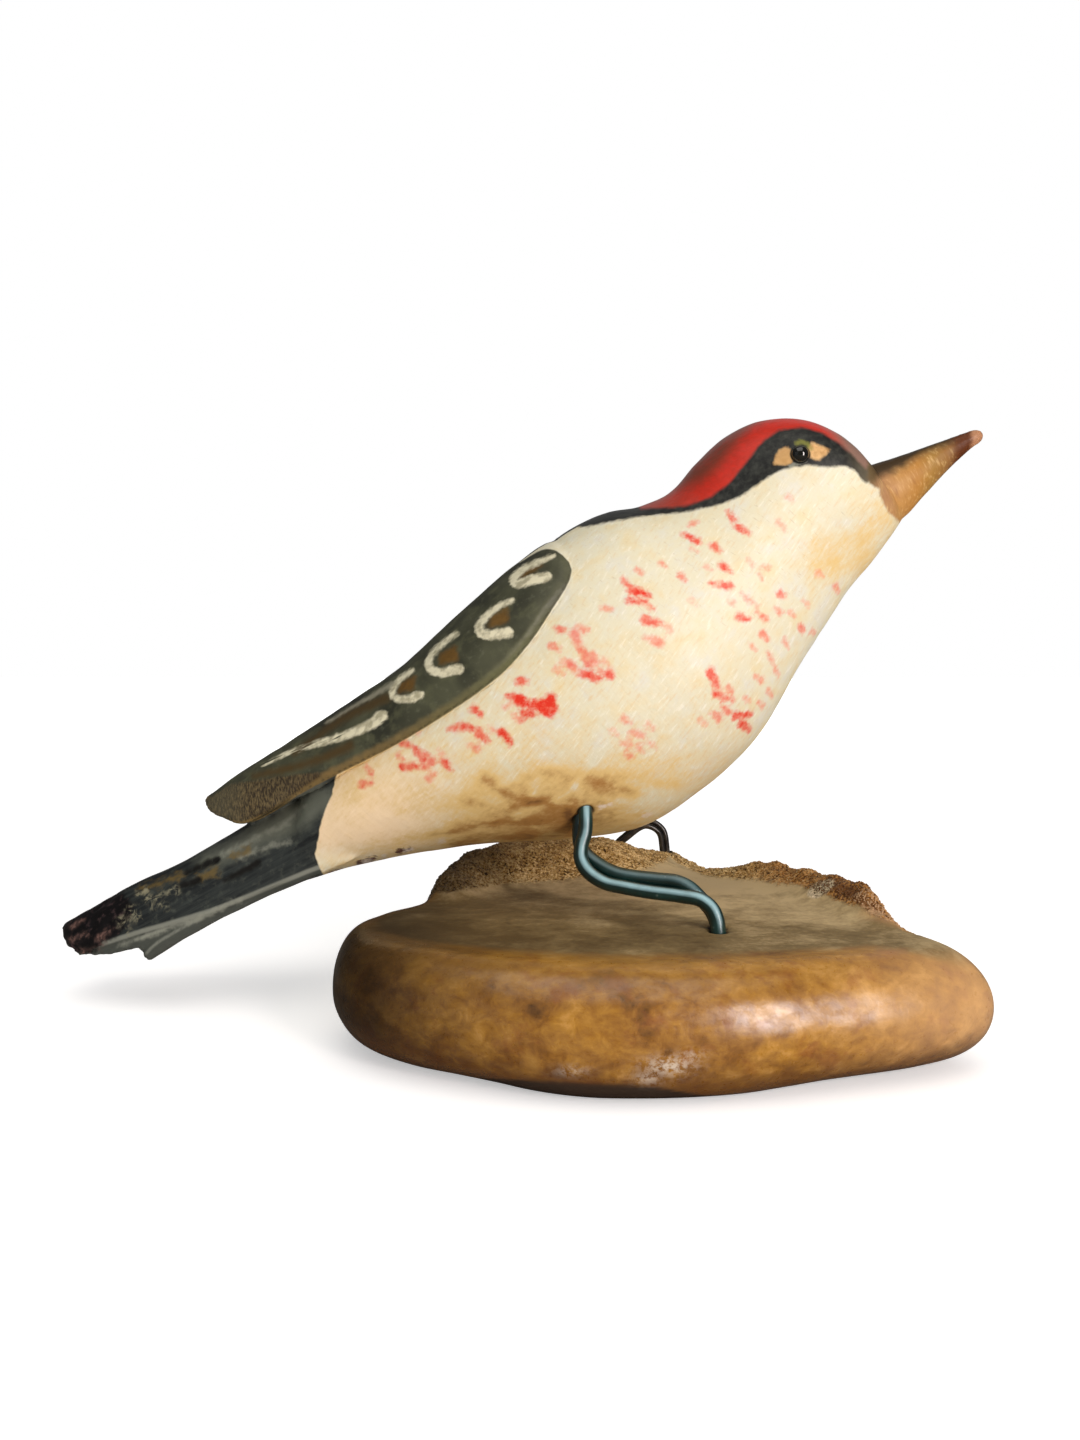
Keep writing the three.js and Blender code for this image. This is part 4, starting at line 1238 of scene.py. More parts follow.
def wingsPaint(tree, by):
    fine, along = by["fine"], by["along"]
    rim = times(edgeMask(tree, "rim"), zoneOf(along, "rim"))
    rimColour = coats(
        mixNode(zoneOf(along, "rimColour"), paint["rimBrown"], paint["rimGreen"]),
        (fade(fine, 0.3, 0.7, 0.4), paint["rimDull"]))
    mark = mixNode(fade(noiseNode(tree, 1.3, detail=3.0), 0.3, 0.6), paint["markWorn"], paint["mark"])
    lines = streaks(tree, size=0.45, stretch=(0.07, 0.07, 1.0), turn=(0.0, 0.4, 0.0), contrast=2.0)
    dried = fade(minus(lines, times(layerOf(tree, "stripeEnd"), 0.45)), 0.05, 0.3)
    colour = coats(
        mixNode(fade(by["wide"], 0.3, 0.7), paint["wingDark"], paint["wing"]),
        (fade(by["patch"], 0.5, 0.68, 0.5), paint["wingPatch"]),
        (fade(fine, 0.52, 0.78, 0.45), paint["wingDust"]),
        (edgeMask(tree, "bands"), paint["band"]),
        (rim, rimColour),
        (fade(layerOf(tree, "rim"), 0.72, 0.9, 0.5), paint["rimLine"]),
        (edgeMask(tree, "rust"), mixNode(fine, paint["rustDark"], paint["rust"])),
        (edgeMask(tree, "marks"), mark),
        (times(edgeMask(tree, "stripe"), dried), mark),
        (times(edgeMask(tree, "backStripe"), 0.6), paint["markFaint"]),
        (by["tip"], tipPaint(by)))
    return edgeMask(tree, "wing"), colour


def makeBirdPaint():
    material, tree, shader = newMaterial("painted wood", roughness=0.5, coat=0.05, coatRoughness=0.3)
    shader.inputs["Specular IOR Level"].default_value = 0.3
    by = paintNoises(tree)
    cap = capPaint(tree, by)
    # painted shade in the hole round each leg wire
    holeShadeShare = zoneOf(layerOf(tree, "wireGap"), "wireHoleShade")
    feed(shader, "Base Color", coats(
        groundPaint(tree, by), dabPaint(tree), maskPaint(tree, by), cap, *eyePaint(tree, by),
        billPaint(tree, by), tailPaint(tree, by), wingsPaint(tree, by), (holeShadeShare, paint["holeShade"])))
    feed(shader, "Roughness", minus(plus(0.46, sway(by["fine"], 0.3)), times(cap[0], 0.12)))
    height = plus(
        times(by["fine"], 0.35), times(by["brushed"], 0.4), times(by["grain"], 0.3),
        times(by["rasp"], by["tip"], 1.6))
    bump(shader, height, distance=0.09)
    return material


# Leg wires: each leg is one doubled wire, its strands parting along the foot
legs = {
    "near": {
        "name": "right_leg_wire",
        "radius": 1.04,
        "dents": 0.03,
        "ramp": [(0.3, "#051b18"), (0.55, "#0b2a26"), (0.75, "#153d38")],
        # pale teal of the painted highlight along the wire
        "paleBlend": "#94bbc2",
        "chip": "#a9b5ac",
        "routes": [
            [
                (6.3, -11.0, 35.0), (6.6, -14.3, 31.0), (6.5, -15.3, 28.3), (5.9, -16.0, 26.2),
                (5.9, -16.7, 24.5), (6.9, -17.5, 22.9), (9.1, -18.4, 21.6), (11.9, -19.3, 21.1),
                (15.5, -20.2, 20.65), (19.3, -21.2, 20.35), (22.1, -22.0, 19.95), (23.6, -22.6, 18.9),
                (24.3, -23.1, 17.4), (24.5, -23.4, 15.6), (24.5, -23.5, 10.5),
            ],
            [
                (6.1, -9.8, 35.0), (5.9, -12.8, 30.4), (5.7, -13.4, 28.0), (5.9, -13.9, 26.2),
                (6.5, -14.5, 25.1), (8.0, -15.6, 23.9), (10.6, -17.3, 22.75), (13.1, -18.2, 22.35),
                (16.3, -19.1, 22.15), (19.2, -19.9, 21.95), (20.9, -20.4, 21.2), (22.4, -20.9, 19.8),
                (23.9, -21.4, 18.1), (24.7, -21.8, 15.6), (24.7, -21.9, 10.5),
            ],
        ],
    },
    "far": {
        "name": "left_leg_wire",
        "radius": 0.5,
        "dents": 0.012,
        "ramp": [(0.3, "#1d1c1c"), (0.6, "#3a3836"), (0.85, "#6a5f52")],
        "routes": [
            [
                (6.2, 10.5, 35.0), (6.4, 14.2, 29.8), (6.8, 18.8, 23.4), (8.8, 22.0, 19.3),
                (12.4, 23.2, 18.4), (15.4, 23.2, 20.9), (18.9, 23.2, 23.2), (21.3, 23.4, 22.1),
                (22.0, 23.6, 19.4), (22.1, 23.8, 10.5),
            ],
            [
                (6.9, 10.0, 35.0), (7.2, 13.4, 30.2), (7.6, 18.4, 24.4), (9.4, 22.7, 20.2),
                (12.6, 24.3, 18.9), (14.8, 24.5, 20.8), (19.4, 24.0, 24.0), (22.1, 24.0, 22.6),
                (22.9, 24.0, 19.4), (22.9, 24.1, 10.5),
            ],
        ],
    },
}
wire = {
    "points": 130,
    "sides": 24.0,
    "dentScale": 420.0,
    "highlightFacing": (0.1, -0.82, 0.56),  # painted highlight: the wire is paler where it faces this way
    "highlightSpan": (0.84, 1.0),
    "rearHighlight": 0.3,
}


def smoothRoute(route, count):  # passes through each point, with bends eased by the chord lengths
    route = np.array(route, float)
    chords = np.sqrt(np.linalg.norm(np.diff(route, axis=0), axis=1))
    knots = np.concatenate([[0], np.cumsum(chords)])
    longer = np.vstack([2 * route[0] - route[1], route, 2 * route[-1] - route[-2]])
    moments = np.concatenate([[knots[0] - chords[0]], knots, [knots[-1] + chords[-1]]])
    result = []
    for t in np.linspace(knots[0], knots[-1], count):
        at = min(max(np.searchsorted(knots, t, "right") - 1, 0), len(route) - 2)
        p = longer[at:at + 4]
        k = moments[at:at + 4]
        a = [((k[i + 1] - t) * p[i] + (t - k[i]) * p[i + 1]) / (k[i + 1] - k[i]) for i in range(3)]
        b = [((k[i + 2] - t) * a[i] + (t - k[i]) * a[i + 1]) / (k[i + 2] - k[i]) for i in range(2)]
        result.append(((k[2] - t) * b[0] + (t - k[1]) * b[1]) / (k[2] - k[1]))
    return np.array(result)


def wireGap(points):  # distance to the middle of the nearest strand
    return np.min([routeGap(points / mm, route) for leg in legs.values() for route in leg["routes"]], 0)


def wireTree(material):
    tree = newTree("wire along route", {"Radius": 0.0008, "Dents": 0.00003, "Sides": wire["sides"]})
    given = addNode(tree, "NodeGroupInput").outputs
    curve = addNode(tree, "GeometryNodeMeshToCurve", {"Mesh": given["Geometry"]}).outputs["Curve"]
    ring = addNode(tree, "GeometryNodeCurvePrimitiveCircle", {
        "Resolution": given["Sides"], "Radius": given["Radius"]}).outputs["Curve"]
    tube = addNode(tree, "GeometryNodeCurveToMesh", {
        "Curve": curve, "Profile Curve": ring, "Fill Caps": True})
    noise = addNode(tree, "ShaderNodeTexNoise", {"Scale": wire["dentScale"], "Detail": 2.0}).outputs[0]
    size = sway(noise, given["Dents"])
    normal = addNode(tree, "GeometryNodeInputNormal").outputs[0]
    push = addNode(tree, "ShaderNodeVectorMath", {0: normal, "Scale": size}, operation="SCALE").outputs[0]
    dented = addNode(tree, "GeometryNodeSetPosition", {"Geometry": tube.outputs["Mesh"], "Offset": push})
    return endTree(tree, dented.outputs["Geometry"], material)


def makeLegs(leg, material, nodeName):
    count = wire["points"]
    lines = [smoothRoute(route, count) * mm for route in leg["routes"]]
    edges = [[row * count + at, row * count + at + 1] for row in range(len(lines)) for at in range(count - 1)]
    item = meshItem(leg["name"], np.vstack(lines), [], edges)
    applyTree(item, wireTree(material), {"Radius": leg["radius"] * mm, "Dents": leg["dents"] * mm})
    # painted highlight: paler where the wire faces one fixed way, weaker on the rear strand
    highlightFacing = normalsOf(item) @ np.array(wire["highlightFacing"])
    front, rear = (routeGap(pointsOf(item) / mm, route) for route in leg["routes"])
    setLayer(item, "paleBlend", easeStep(*wire["highlightSpan"], highlightFacing) * np.where(rear < front, wire["rearHighlight"], 1.0))
    finishPiece(item, [nodeName])
    return item


def makeGreenWire():
    material, tree, shader = newMaterial("green wire", roughness=0.36, coat=0.4, coatRoughness=0.25)
    wide = noiseNode(tree, 3.5, detail=4.0)
    chips = times(specks(tree, size=1.6, cover=0.1), fade(noiseNode(tree, 5.0), 0.5, 0.7, 0.6, 0.1))
    feed(shader, "Base Color", coats(
        rampNode(wide, legs["near"]["ramp"]),
        # painted highlight along the wire, broken up by a noise
        (times(layerOf(tree, "paleBlend"), fade(wide, 0.2, 0.6, 1.0, 0.6)), legs["near"]["paleBlend"]),
        (chips, legs["near"]["chip"])))
    bump(shader, plus(noiseNode(tree, 0.8, detail=3.0), chips), distance=0.03)
    return material


def makeGreyWire():
    material, tree, shader = newMaterial("grey wire", roughness=0.28, coat=0.3, coatRoughness=0.15)
    feed(shader, "Base Color", rampNode(noiseNode(tree, 2.0, detail=4.0), legs["far"]["ramp"]))
    shader.inputs["Metallic"].default_value = 0.55
    bump(shader, noiseNode(tree, 0.5, detail=3.0), distance=0.02)
    return material


# Eyes: a glossy domed bead with a narrow seated edge
eyes = {
    "place": (37.6, 11.6, 82.6),
    "radius": 1.35,
    "sides": 48,
    "rings": 30,
    "dome": 0.96,
    "black": "#050606",
    "brown": "#15160f",
}


def makeEye(hand, name, nodeName, material):
    bulge = np.linspace(0, np.pi, eyes["rings"])
    radius = eyes["radius"] * np.sin(bulge)
    reach = eyes["radius"] * np.cos(bulge) * np.where(np.cos(bulge) > 0, eyes["dome"], 1.0)
    around = np.arange(eyes["sides"]) * 2 * np.pi / eyes["sides"]
    rings = np.stack([
        eyes["place"][0] + radius[1:-1, None] * np.cos(around),
        hand * (eyes["place"][1] + reach[1:-1, None] + 0 * around),
        eyes["place"][2] + radius[1:-1, None] * np.sin(around)], 2)
    item = loftItem(name, rings)
    item.data.materials.append(material)
    finishPiece(item, [nodeName])
    return item


def makeEyeBead():
    material, tree, shader = newMaterial("eye bead", roughness=0.06, coat=1.0, coatRoughness=0.03)
    brown = fade(noiseNode(tree, 0.9, detail=2.0), 0.3, 0.8)
    feed(shader, "Base Color", mixNode(brown, eyes["black"], eyes["brown"]))
    bump(shader, noiseNode(tree, 0.5, detail=2.0), distance=0.01)
    return material


# Slab: stations are x, y, rounding above, rounding below
slab = {
    "top": 16.0,
    "middle": 8.0,
    "lumps": 0.2,
    "lumpWaves": ((0.9, 0.4), (-0.3, 0.8)),
    "lumpRise": 3,  # crest height at which the lumps are full
    "sides": 600,
    "rollRows": 44,
    "topRows": [(0.985, 0.5, 62), (0.47, 0.03, 16)],  # shrinks towards the heart: from, to, count
    "poleDepths": [-25.2, 40.0],
    "heart": (14.0, -8.0),
    "stations": [
        (-28.8, -21, 5, 10), (-25.2, -32.0, 6, 10), (-14, -40.0, 7, 9), (4, -45.7, 7, 5.5),
        (22, -45.6, 7, 5.5), (40, -41.6, 7, 9), (53, -37.2, 8, 11), (59.0, -31.2, 10, 10),
        (53.6, -21.7, 10, 9), (51.0, -13, 3.5, 6), (47.5, -1, 3, 4), (42.4, 10, 3, 4), (33.6, 18.6, 3, 4),
        (25, 27.4, 3, 4), (12, 30, 3, 4), (0, 27.5, 3, 4), (-10.6, 18, 3, 4), (-16.8, 7, 3, 4),
        (-20, -5, 4, 6), (-26.6, -13.5, 5, 8),
    ],
    "crests": [
        [(-14.2, -0.5, 3.4, 4), (-11, 7, 5.6, 6), (-4, 13.2, 6.3, 8), (5, 15.8, 6.2, 9), (11, 16.4, 6.1, 9),
         (17, 19, 3.8, 7), (23, 25, 2.4, 5)],
        [(32.6, 16, 0.9, 4), (37.5, 12, 3.0, 4), (42, 5, 3.1, 4), (45.4, -4, 3.6, 4), (48.2, -12, 3.9, 4),
         (49.8, -18.8, 3.0, 3)],
    ],
    "crestFall": 4.2,
    "crumble": ([22, 32], [0.26, 0.42]),  # push of the crumbs from the left to the right rim
    "crumbStart": ([2, 14, 32, 40], [0.35, 1.2, 1.2, 0.7]),  # the crumbs reach lower at the ends
    # noises: size, seed, power
    "grit": [(0.0011, 31, 0.6), (0.0006, 33, 0.4)],
    "swell": [(0.0034, 35, 0.35 * 0.7), (0.0017, 36, 0.35 * 0.45)],
    "knotNoise": [(0.0008, 38, 0.4)],
    "rollNoise": [(0.011, 37, 0.1), (0.0045, 39, 0.07)],
    "topNoise": [(0.007, 41, 0.12)],
    "wireHollow": 0.35,
    "wireHollowEdge": (1.9, 1.0),
    "knot": (42.4, -6.6, 18.9),
    "knotReach": 2.6,
    "knotRise": 0.4,
    # where each zone starts and where it is full, as depth in millimetres from the rim onto the top
    "backEdge": (-8, 6),  # this one along y
    "backEdgeBelow": (-9, -2),
    "backEdgeAbove": (7, 1),
    "brokenBelow": (-12, -6),
    "brokenRise": 2.0,  # crest height from the first crumbs to the full rim
    "rollAbove": (4, -2),
    "rollBelow": (-25.1, -22.0),
    "topAbove": (0, 6),
    "facing": (0.1, -0.1),  # how far a face turns to the front
    # the underside shows below this line in front: its depth, the drop to its ends, its middle and reach
    # along x, and its softness
    "lip": (-17.6, 5.0, 5.5, 14, 0.7),
    "strokeEdge": (-4, 3),  # pixels
    # places seen in the photograph: strokes as above, and pale blooms, partly whitish varnish and partly
    # painted highlight, as place u, v, reach u, v, strength
    "redEdge": ([(836, 886), (852, 893), (862, 900), (876, 911)], 10, 12),
    "paleGrit": ([(866, 912), (880, 919), (902, 934)], 14, 7),
    "bloomsAndHighlights": [
        (669, 1066, 24, 9, 1.0), (648, 1078, 14, 6, 0.7), (572, 1071, 16, 5, 0.5), (690, 1056, 14, 6, 0.6),
    ],
}


def crestRise(x, y):
    rise = np.zeros(x.shape)
    for crest in slab["crests"]:
        for start, end in zip(crest[:-1], crest[1:]):
            gap, share = toSegment(x, y, start[:2], end[:2])
            outside = (end[0] - start[0]) * (y - start[1]) - (end[1] - start[1]) * (x - start[0]) > 0
            width = np.where(outside, slab["crestFall"], start[3] + share * (end[3] - start[3]))
            rise = np.maximum(rise, (start[2] + share * (end[2] - start[2])) * np.exp(-(gap / width) ** 2))
    return rise


def slabHeight(x, y):
    rise = crestRise(x, y)
    waves = [np.sin(alongX * x + alongY * y) for alongX, alongY in slab["lumpWaves"]]
    return slab["top"] + rise + slab["lumps"] * waves[0] * waves[1] * np.minimum(1, rise / slab["lumpRise"])


def slabRings():  # from under the slab round its edge, then over the top to its heart
    shares = np.arange(slab["sides"]) / slab["sides"]
    stations = np.array(slab["stations"])
    rim = curveThrough(stations[:, :2], shares, True)
    rounding = curveThrough(stations[:, 2:], shares, True)
    heart = np.array(slab["heart"])
    inward = heart - rim
    inward /= np.linalg.norm(inward, axis=1)[:, None]
    turns = np.linspace(-np.pi / 2, np.pi / 2, slab["rollRows"])
    shrinks = np.concatenate([np.linspace(*span) for span in slab["topRows"]])
    rings, depths = [], []
    for turn, shrink in [(turn, 1.0) for turn in turns] + [(np.pi / 2, share) for share in shrinks]:
        inset = np.where(turn > 0, rounding[:, 0], rounding[:, 1]) * (1 - np.cos(turn))
        flat = (rim + inward * inset[:, None] - heart) * shrink + heart
        reach = slabHeight(flat[:, 0], flat[:, 1]) - slab["middle"] if turn > 0 else slab["middle"]
        z = slab["middle"] + reach * np.sin(turn)
        rings.append(np.column_stack([flat, z * np.ones(len(flat))]))
        width = np.linalg.norm(flat - heart, axis=1)
        onRoll = (turn - np.pi / 2) * slab["middle"] * np.ones(len(flat))
        depths.append((1 / shrink - 1) * width if shrink < 1 else onRoll)
    return np.array(rings), np.array(depths)


def makeSlab(material):
    rings, depths = slabRings()
    item = loftItem("burl_base", rings)
    depth = np.concatenate([depths.ravel(), slab["poleDepths"]])
    points, normals = pointsOf(item), normalsOf(item)
    x, y = points[:, 0] / mm, points[:, 1] / mm
    rise = crestRise(x, y)
    backEdge = easeStep(*slab["backEdge"], y) * easeStep(*slab["backEdgeBelow"], depth)
    backEdge *= easeStep(*slab["backEdgeAbove"], depth)
    start = np.interp(x, *slab["crumbStart"])
    broken = np.maximum(easeStep(start, start + slab["brokenRise"], rise), backEdge)
    broken = np.clip(broken * easeStep(*slab["brokenBelow"], depth), 0, 1)
    push = np.interp(x, *slab["crumble"]) * broken * noiseSum(points, slab["grit"] + slab["swell"])
    knot = np.exp(-(np.linalg.norm(points / mm - slab["knot"], axis=1) / slab["knotReach"]) ** 2)
    push += knot * (slab["knotRise"] + noiseSum(points, slab["knotNoise"]))
    onRoll = easeStep(*slab["rollAbove"], depth) * (1 - broken) * easeStep(*slab["rollBelow"], depth)
    push += onRoll * noiseSum(points, slab["rollNoise"])
    push += easeStep(*slab["topAbove"], depth) * noiseSum(points, slab["topNoise"])
    gap = wireGap(points)
    push -= slab["wireHollow"] * easeStep(*slab["wireHollowEdge"], gap) * (depth > 0)
    points = points + normals * push[:, None] * mm
    points[:, 2] = np.maximum(points[:, 2], 0.0)
    points[-2, 2] = 0.0  # the middle of the flat underside
    setPoints(item, points)
    u, v = pixelOf(points)
    facing = easeStep(*slab["facing"], normals[:, 1])
    bloomsAndHighlights = []
    for placeU, placeV, reachU, reachV, power in slab["bloomsAndHighlights"]:
        bloomsAndHighlights.append(power * np.exp(-((u - placeU) / reachU) ** 2 - ((v - placeV) / reachV) ** 2))
    level, drop, middle, reach, edge = slab["lip"]
    lip = level - drop * (1 - np.exp(-((x - middle) / reach) ** 4))
    layers = {
        "depth": depth,
        "broken": broken,
        "knot": knot,
        "redEdge": easeStep(*slab["strokeEdge"], insideStroke(u, v, *slab["redEdge"])),
        "paleGrit": easeStep(*slab["strokeEdge"], insideStroke(u, v, *slab["paleGrit"])),
        "bloomAndHighlight": np.max(bloomsAndHighlights, 0) * facing,
        "under": easeStep(lip, lip - edge, depth) * facing,
        "wireGap": gap,
    }
    for name, values in layers.items():
        setLayer(item, name, values)
    item.data.materials.append(material)
    finishPiece(item, ["base"])
    return item


burl = {
    "rollRamp": [(0.34, "#56370f"), (0.45, "#875819"), (0.56, "#a97829"), (0.7, "#d09d52")],
    # the left-end colour is partly the burl's dark varnish and partly painted shade; the low colour is
    # painted shade along the bottom of the roll
    "red": "#83461a", "leftEndDarkAndShade": "#150c03", "rightEnd": "#d2a87c", "low": "#55300e", "lip": "#80602f",
    "topRamp": [(0.4, "#5c4a2c"), (0.55, "#806c47"), (0.75, "#c0a97e")],
    "crumbRamp": [(0.42, "#33220f"), (0.5, "#b08a4a"), (0.62, "#ebcf97")],
    "grainRamp": [(0.34, "#4b3820"), (0.5, "#b08a4a"), (0.62, "#ebcf97")],
    "redEdge": "#542c0e", "orange": "#8a5a20", "warmth": "#c68f3a", "paleGrit": "#bf9a72",
    "knot": "#d4c3a4", "knotDark": "#6b5a40", "under": "#3d2d20", "underDark": "#33261b",
    "bloomAndHighlight": "#dccfbb", "holeShade": "#1c120a",
    "varnishIOR": 1.66,
    # where one look gives way to the next: from, to, value there, value before. Places along x and y are
    # in metres, and depths in millimetres from the rim
    "golden": (0.004, 0.040, 0.06),
    "rightSide": (0.030, 0.058, 0.5),
    "leftSide": (0.007, -0.029, 0.93),
    "shadedLowDepth": (-11.0, -17.5, 0.8),
    "lipDepth": (-9.0, -3.0),
    "lipShade": (0.045, 0.0, 0.4, 0.1),
    "lipLeft": (-0.030, -0.002, 1.0, 0.1),
    "skinBehind": (-0.034, -0.020, 5.0),
    "skinRight": (0.040, 0.053),
    "skinFront": (-0.041, -0.033, 7.5),
    "skinLeft": (-0.030, -0.004, 0.0, -3.0),
    "skinDepth": (0.5, 5.0),
    "skinDark": (-0.006, -0.024, 0.8),
    "dullAcross": (-0.030, 0.050, 0.15, -0.06),
    "dullBehind": (-0.030, 0.008, 0.2, -0.07),
    "crumbLeft": (0.002, -0.015, 0.86),
    "crumbRight": (0.032, 0.040, 0.7),
    "crumbCover": (0.22, 0.62),
    "varnishLeft": (-0.032, 0.0, 1.0, 0.05),
    "varnishDepth": (0.0, -6.0, 1.0, 0.2),
    "wireHoleShade": (1.65, 1.05),
    "grainOrange": (0.032, 0.040, 0.4),
    "grainRight": (0.030, 0.040),
    "grainRed": (-0.001, -0.006, 0.75),
    "grainPale": (-0.0125, -0.0145, 0.85),
}


def burlZone(value, name):
    return fade(value, *burl[name])


def rollColour(tree, x, depth, by):  # rounded, varnished edge: dark at the left and golden at the right, partly the burl's own colour and partly painted shade at the left and painted light at the right; darker low down as painted shade
    mixed = plus(
        times(by["wide"], 0.45), times(by["mottle"], 0.45), times(by["fine"], 0.1), sway(by["fibre"], 0.05),
        burlZone(x, "golden"))
    shade = plus(x, sway(by["wide"], 0.012))
    low = burlZone(plus(depth, times(by["mottle"], 4.0)), "shadedLowDepth")
    lip = times(burlZone(depth, "lipDepth"), burlZone(shade, "lipShade"), burlZone(x, "lipLeft"))
    return coats(
        rampNode(mixed, burl["rollRamp"]),
        (fade(noiseNode(tree, 4.5, detail=4.0, rough=0.6), 0.54, 0.68, 0.5), burl["red"]),
        (burlZone(x, "rightSide"), burl["rightEnd"]),
        (burlZone(shade, "leftSide"), burl["leftEndDarkAndShade"]),
        (low, burl["low"]),
        (lip, burl["lip"]))


def topSkin(x, y, depth, by):  # sanded top with a dull skin, deeper onto the top at the left
    behind = burlZone(y, "skinBehind")
    rightEnd = times(burlZone(x, "skinRight"), burlZone(y, "skinFront"))
    cover = plus(depth, sway(by["mottle"], 4.0), burlZone(x, "skinLeft"), most(behind, rightEnd))
    dull = plus(
        times(by["wide"], 0.5), times(by["mottle"], 0.3), times(by["fine"], 0.2),
        burlZone(x, "dullAcross"), burlZone(y, "dullBehind"))
    # the top darkens towards the left end: partly the burl's colour, partly painted shade
    skin = mixNode(burlZone(x, "skinDark"), rampNode(dull, burl["topRamp"]), burl["leftEndDarkAndShade"])
    return burlZone(cover, "skinDepth"), skin


def rimCrumbs(tree, x, by):  # olive crumbs, with red-brown and pale patches at the right
    crumb = rampNode(plus(times(by["sand"], 0.7), times(by["mottle"], 0.35)), burl["crumbRamp"])
    # the crumbs darken towards the left end: partly the burl's colour, partly painted shade
    crumb = mixNode(burlZone(x, "crumbLeft"), crumb, burl["leftEndDarkAndShade"])
    crumb = mixNode(burlZone(x, "crumbRight"), crumb, burl["warmth"], "MULTIPLY")
    crumb = coats(
        crumb,
        (times(layerOf(tree, "redEdge"), 0.75), burl["redEdge"]),
        (times(layerOf(tree, "paleGrit"), fade(by["fine"], 0.42, 0.55)), burl["paleGrit"]))
    return burlZone(plus(layerOf(tree, "broken"), sway(by["fine"], 0.9)), "crumbCover"), crumb


def makeBurl():
    material, tree, shader = newMaterial("burl", roughness=0.4, coat=0.0, coatRoughness=0.27)
    shader.inputs["Coat IOR"].default_value = burl["varnishIOR"]
    shader.inputs["Specular IOR Level"].default_value = 0.22
    by = {
        "wide": noiseNode(tree, 10.0, detail=3.0, stretch=(0.7, 1.0, 0.8), distortion=0.8),
        "mottle": noiseNode(tree, 2.1, detail=5.0, stretch=(0.75, 1.0, 1.0), distortion=0.4, rough=0.62),
        "fine": noiseNode(tree, 0.7, detail=4.0, rough=0.65),
        "sand": noiseNode(tree, 0.42, detail=3.0, rough=0.6),
        "fibre": streaks(tree, size=1.4, stretch=(0.3, 0.5, 1.0), turn=(0.0, 0.06, 0.05), contrast=1.2),
    }
    x, y = axesOf(tree)[:2]
    depth, under = layerOf(tree, "depth"), layerOf(tree, "under")
    top, skin = topSkin(x, y, depth, by)
    rim, crumb = rimCrumbs(tree, x, by)
    knotPatch = fade(noiseNode(tree, 0.5, detail=2.0, distortion=1.5), 0.42, 0.54)
    bloomHighlightPatch = fade(noiseNode(tree, 0.9, detail=4.0, rough=0.7), 0.38, 0.6)
    feed(shader, "Base Color", coats(
        rollColour(tree, x, depth, by),
        (top, skin),
        (rim, crumb),
        (fade(layerOf(tree, "knot"), 0.3, 0.5), mixNode(knotPatch, burl["knotDark"], burl["knot"])),
        (under, mixNode(by["fibre"], burl["under"], burl["underDark"])),
        # pale blooms on the front: partly whitish varnish, partly painted highlight
        (times(layerOf(tree, "bloomAndHighlight"), bloomHighlightPatch, 0.75), burl["bloomAndHighlight"]),
        # painted shade in the hole round each leg wire
        (burlZone(layerOf(tree, "wireGap"), "wireHoleShade"), burl["holeShade"])))
    shine = minus(1.0, most(top, most(rim, under)))
    feed(shader, "Roughness", plus(minus(0.66, times(shine, 0.36)), sway(by["fine"], 0.2)))
    ripple = fade(noiseNode(tree, 1.6, detail=4.0, stretch=(0.6, 1.0, 1.0), rough=0.65), 0.34, 0.6, 1.0, 0.35)
    varnish = times(burlZone(x, "varnishLeft"), ripple, burlZone(depth, "varnishDepth"))
    feed(shader, "Coat Weight", times(shine, varnish))
    height = plus(times(by["sand"], times(rim, 3.0)), times(by["fine"], 0.25), times(by["mottle"], 0.9))
    bump(shader, height, distance=0.12)
    return material


# Loose-looking grains on the broken rim
grains = {"Density": 6200000.0, "Smallest": 0.00008, "Largest": 0.00018, "Cover": 0.55}
grainSeeds = {"places": 7, "sizes": 11, "turns": 13}
grainTurn = 6.28  # radians that a grain may turn about each axis


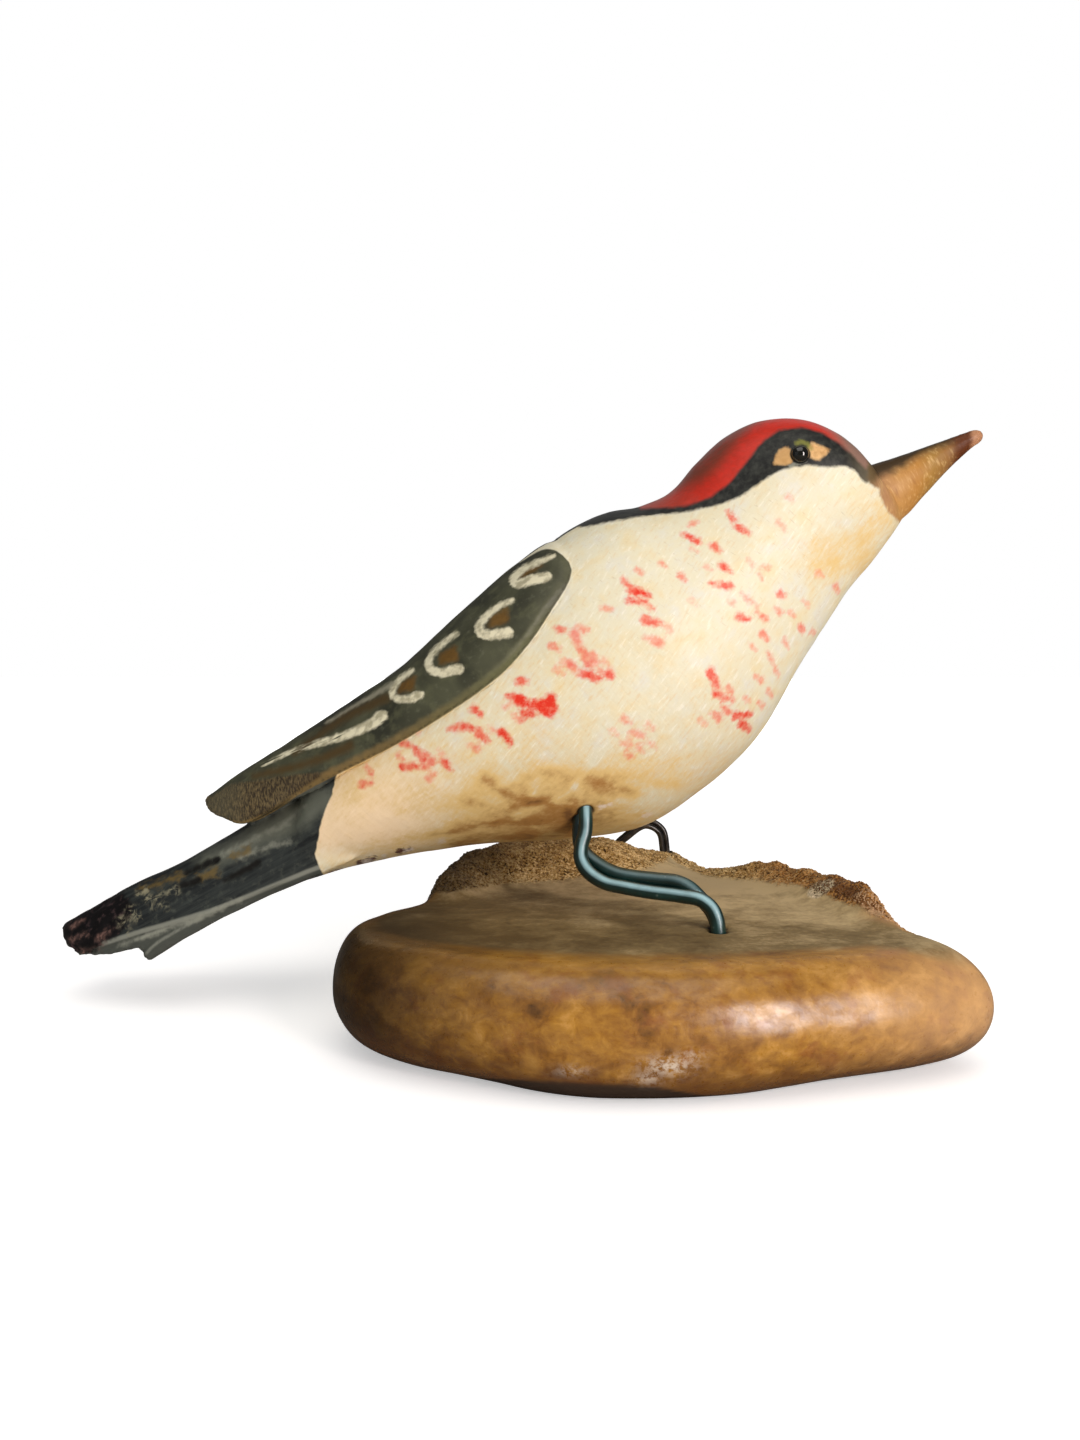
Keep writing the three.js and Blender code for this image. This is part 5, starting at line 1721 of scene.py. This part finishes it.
def grainTree(material):
    tree = newTree("rim grains", grains)
    given = addNode(tree, "NodeGroupInput").outputs
    broken = addNode(tree, "GeometryNodeInputNamedAttribute", {"Name": "broken"}, data_type="FLOAT")
    enough = addNode(tree, "FunctionNodeCompare", {0: broken.outputs[0], 1: given["Cover"]},
                     data_type="FLOAT", operation="GREATER_THAN")
    spread = addNode(tree, "GeometryNodeDistributePointsOnFaces", {
        "Mesh": given["Geometry"], "Selection": enough.outputs[0], "Density": given["Density"],
        "Seed": grainSeeds["places"]}, distribute_method="RANDOM")
    ball = addNode(tree, "GeometryNodeMeshIcoSphere", {"Radius": 1.0, "Subdivisions": 1})
    size = addNode(tree, "FunctionNodeRandomValue", {
        2: given["Smallest"], 3: given["Largest"], "Seed": grainSeeds["sizes"]}, data_type="FLOAT")
    turn = addNode(tree, "FunctionNodeRandomValue", {
        0: (0.0, 0.0, 0.0), 1: [grainTurn] * 3, "Seed": grainSeeds["turns"]}, data_type="FLOAT_VECTOR")
    placed = addNode(tree, "GeometryNodeInstanceOnPoints", {
        "Points": spread.outputs["Points"], "Instance": ball.outputs["Mesh"], "Rotation": turn.outputs[0],
        "Scale": size.outputs[1]})
    return endTree(tree, placed.outputs["Instances"], material)


def makeGrains(base, material):
    item = addItem("rim_grains", base.data.copy())
    applyTree(item, grainTree(material), grains)
    finishPiece(item, [])
    return item


def makeGrainMaterial():
    material, tree, shader = newMaterial("rim grain", roughness=0.42, coat=0.2, coatRoughness=0.25)
    x, y = axesOf(tree)[:2]
    fine = noiseNode(tree, 0.4, detail=3.0)
    right = burlZone(x, "grainRight")
    feed(shader, "Base Color", coats(
        rampNode(plus(times(noiseNode(tree, 1.6, detail=3.0), 0.6), times(fine, 0.4)), burl["grainRamp"]),
        # the grains darken towards the left end: partly the burl's colour, partly painted shade
        (burlZone(x, "crumbLeft"), burl["leftEndDarkAndShade"]),
        (burlZone(x, "grainOrange"), burl["orange"]),
        (times(right, burlZone(y, "grainRed")), burl["redEdge"]),
        (times(right, burlZone(y, "grainPale")), burl["paleGrit"])))
    bump(shader, fine, distance=0.04)
    return material


makeCamera()
makeStudio()
print("camera, floor and lights ready")
groups["edge"] = makePaintEdge()
groups["streaks"] = makeStreaks()
groups["specks"] = makeSpecks()
burlMaterial = makeBurl()
print("shared effects ready")
carvedBird = makeBirdForm()
print("bird carved", len(carvedBird.data.polygons))
paintBird(carvedBird)
carvedBird.data.materials.clear()
carvedBird.data.materials.append(makeBirdPaint())
finishPiece(carvedBird, ["bird"])
print("bird painted")
beadMaterial = makeEyeBead()
makeEye(-1, "right_eye_bead", "eye_right", beadMaterial)
makeEye(1, "left_eye_bead", "eye_left", beadMaterial)
makeLegs(legs["near"], makeGreenWire(), "leg_wire_right")
makeLegs(legs["far"], makeGreyWire(), "leg_wire_left")
print("eyes and leg wires set")
burlBase = makeSlab(burlMaterial)
makeGrains(burlBase, makeGrainMaterial())
print("burl base made")
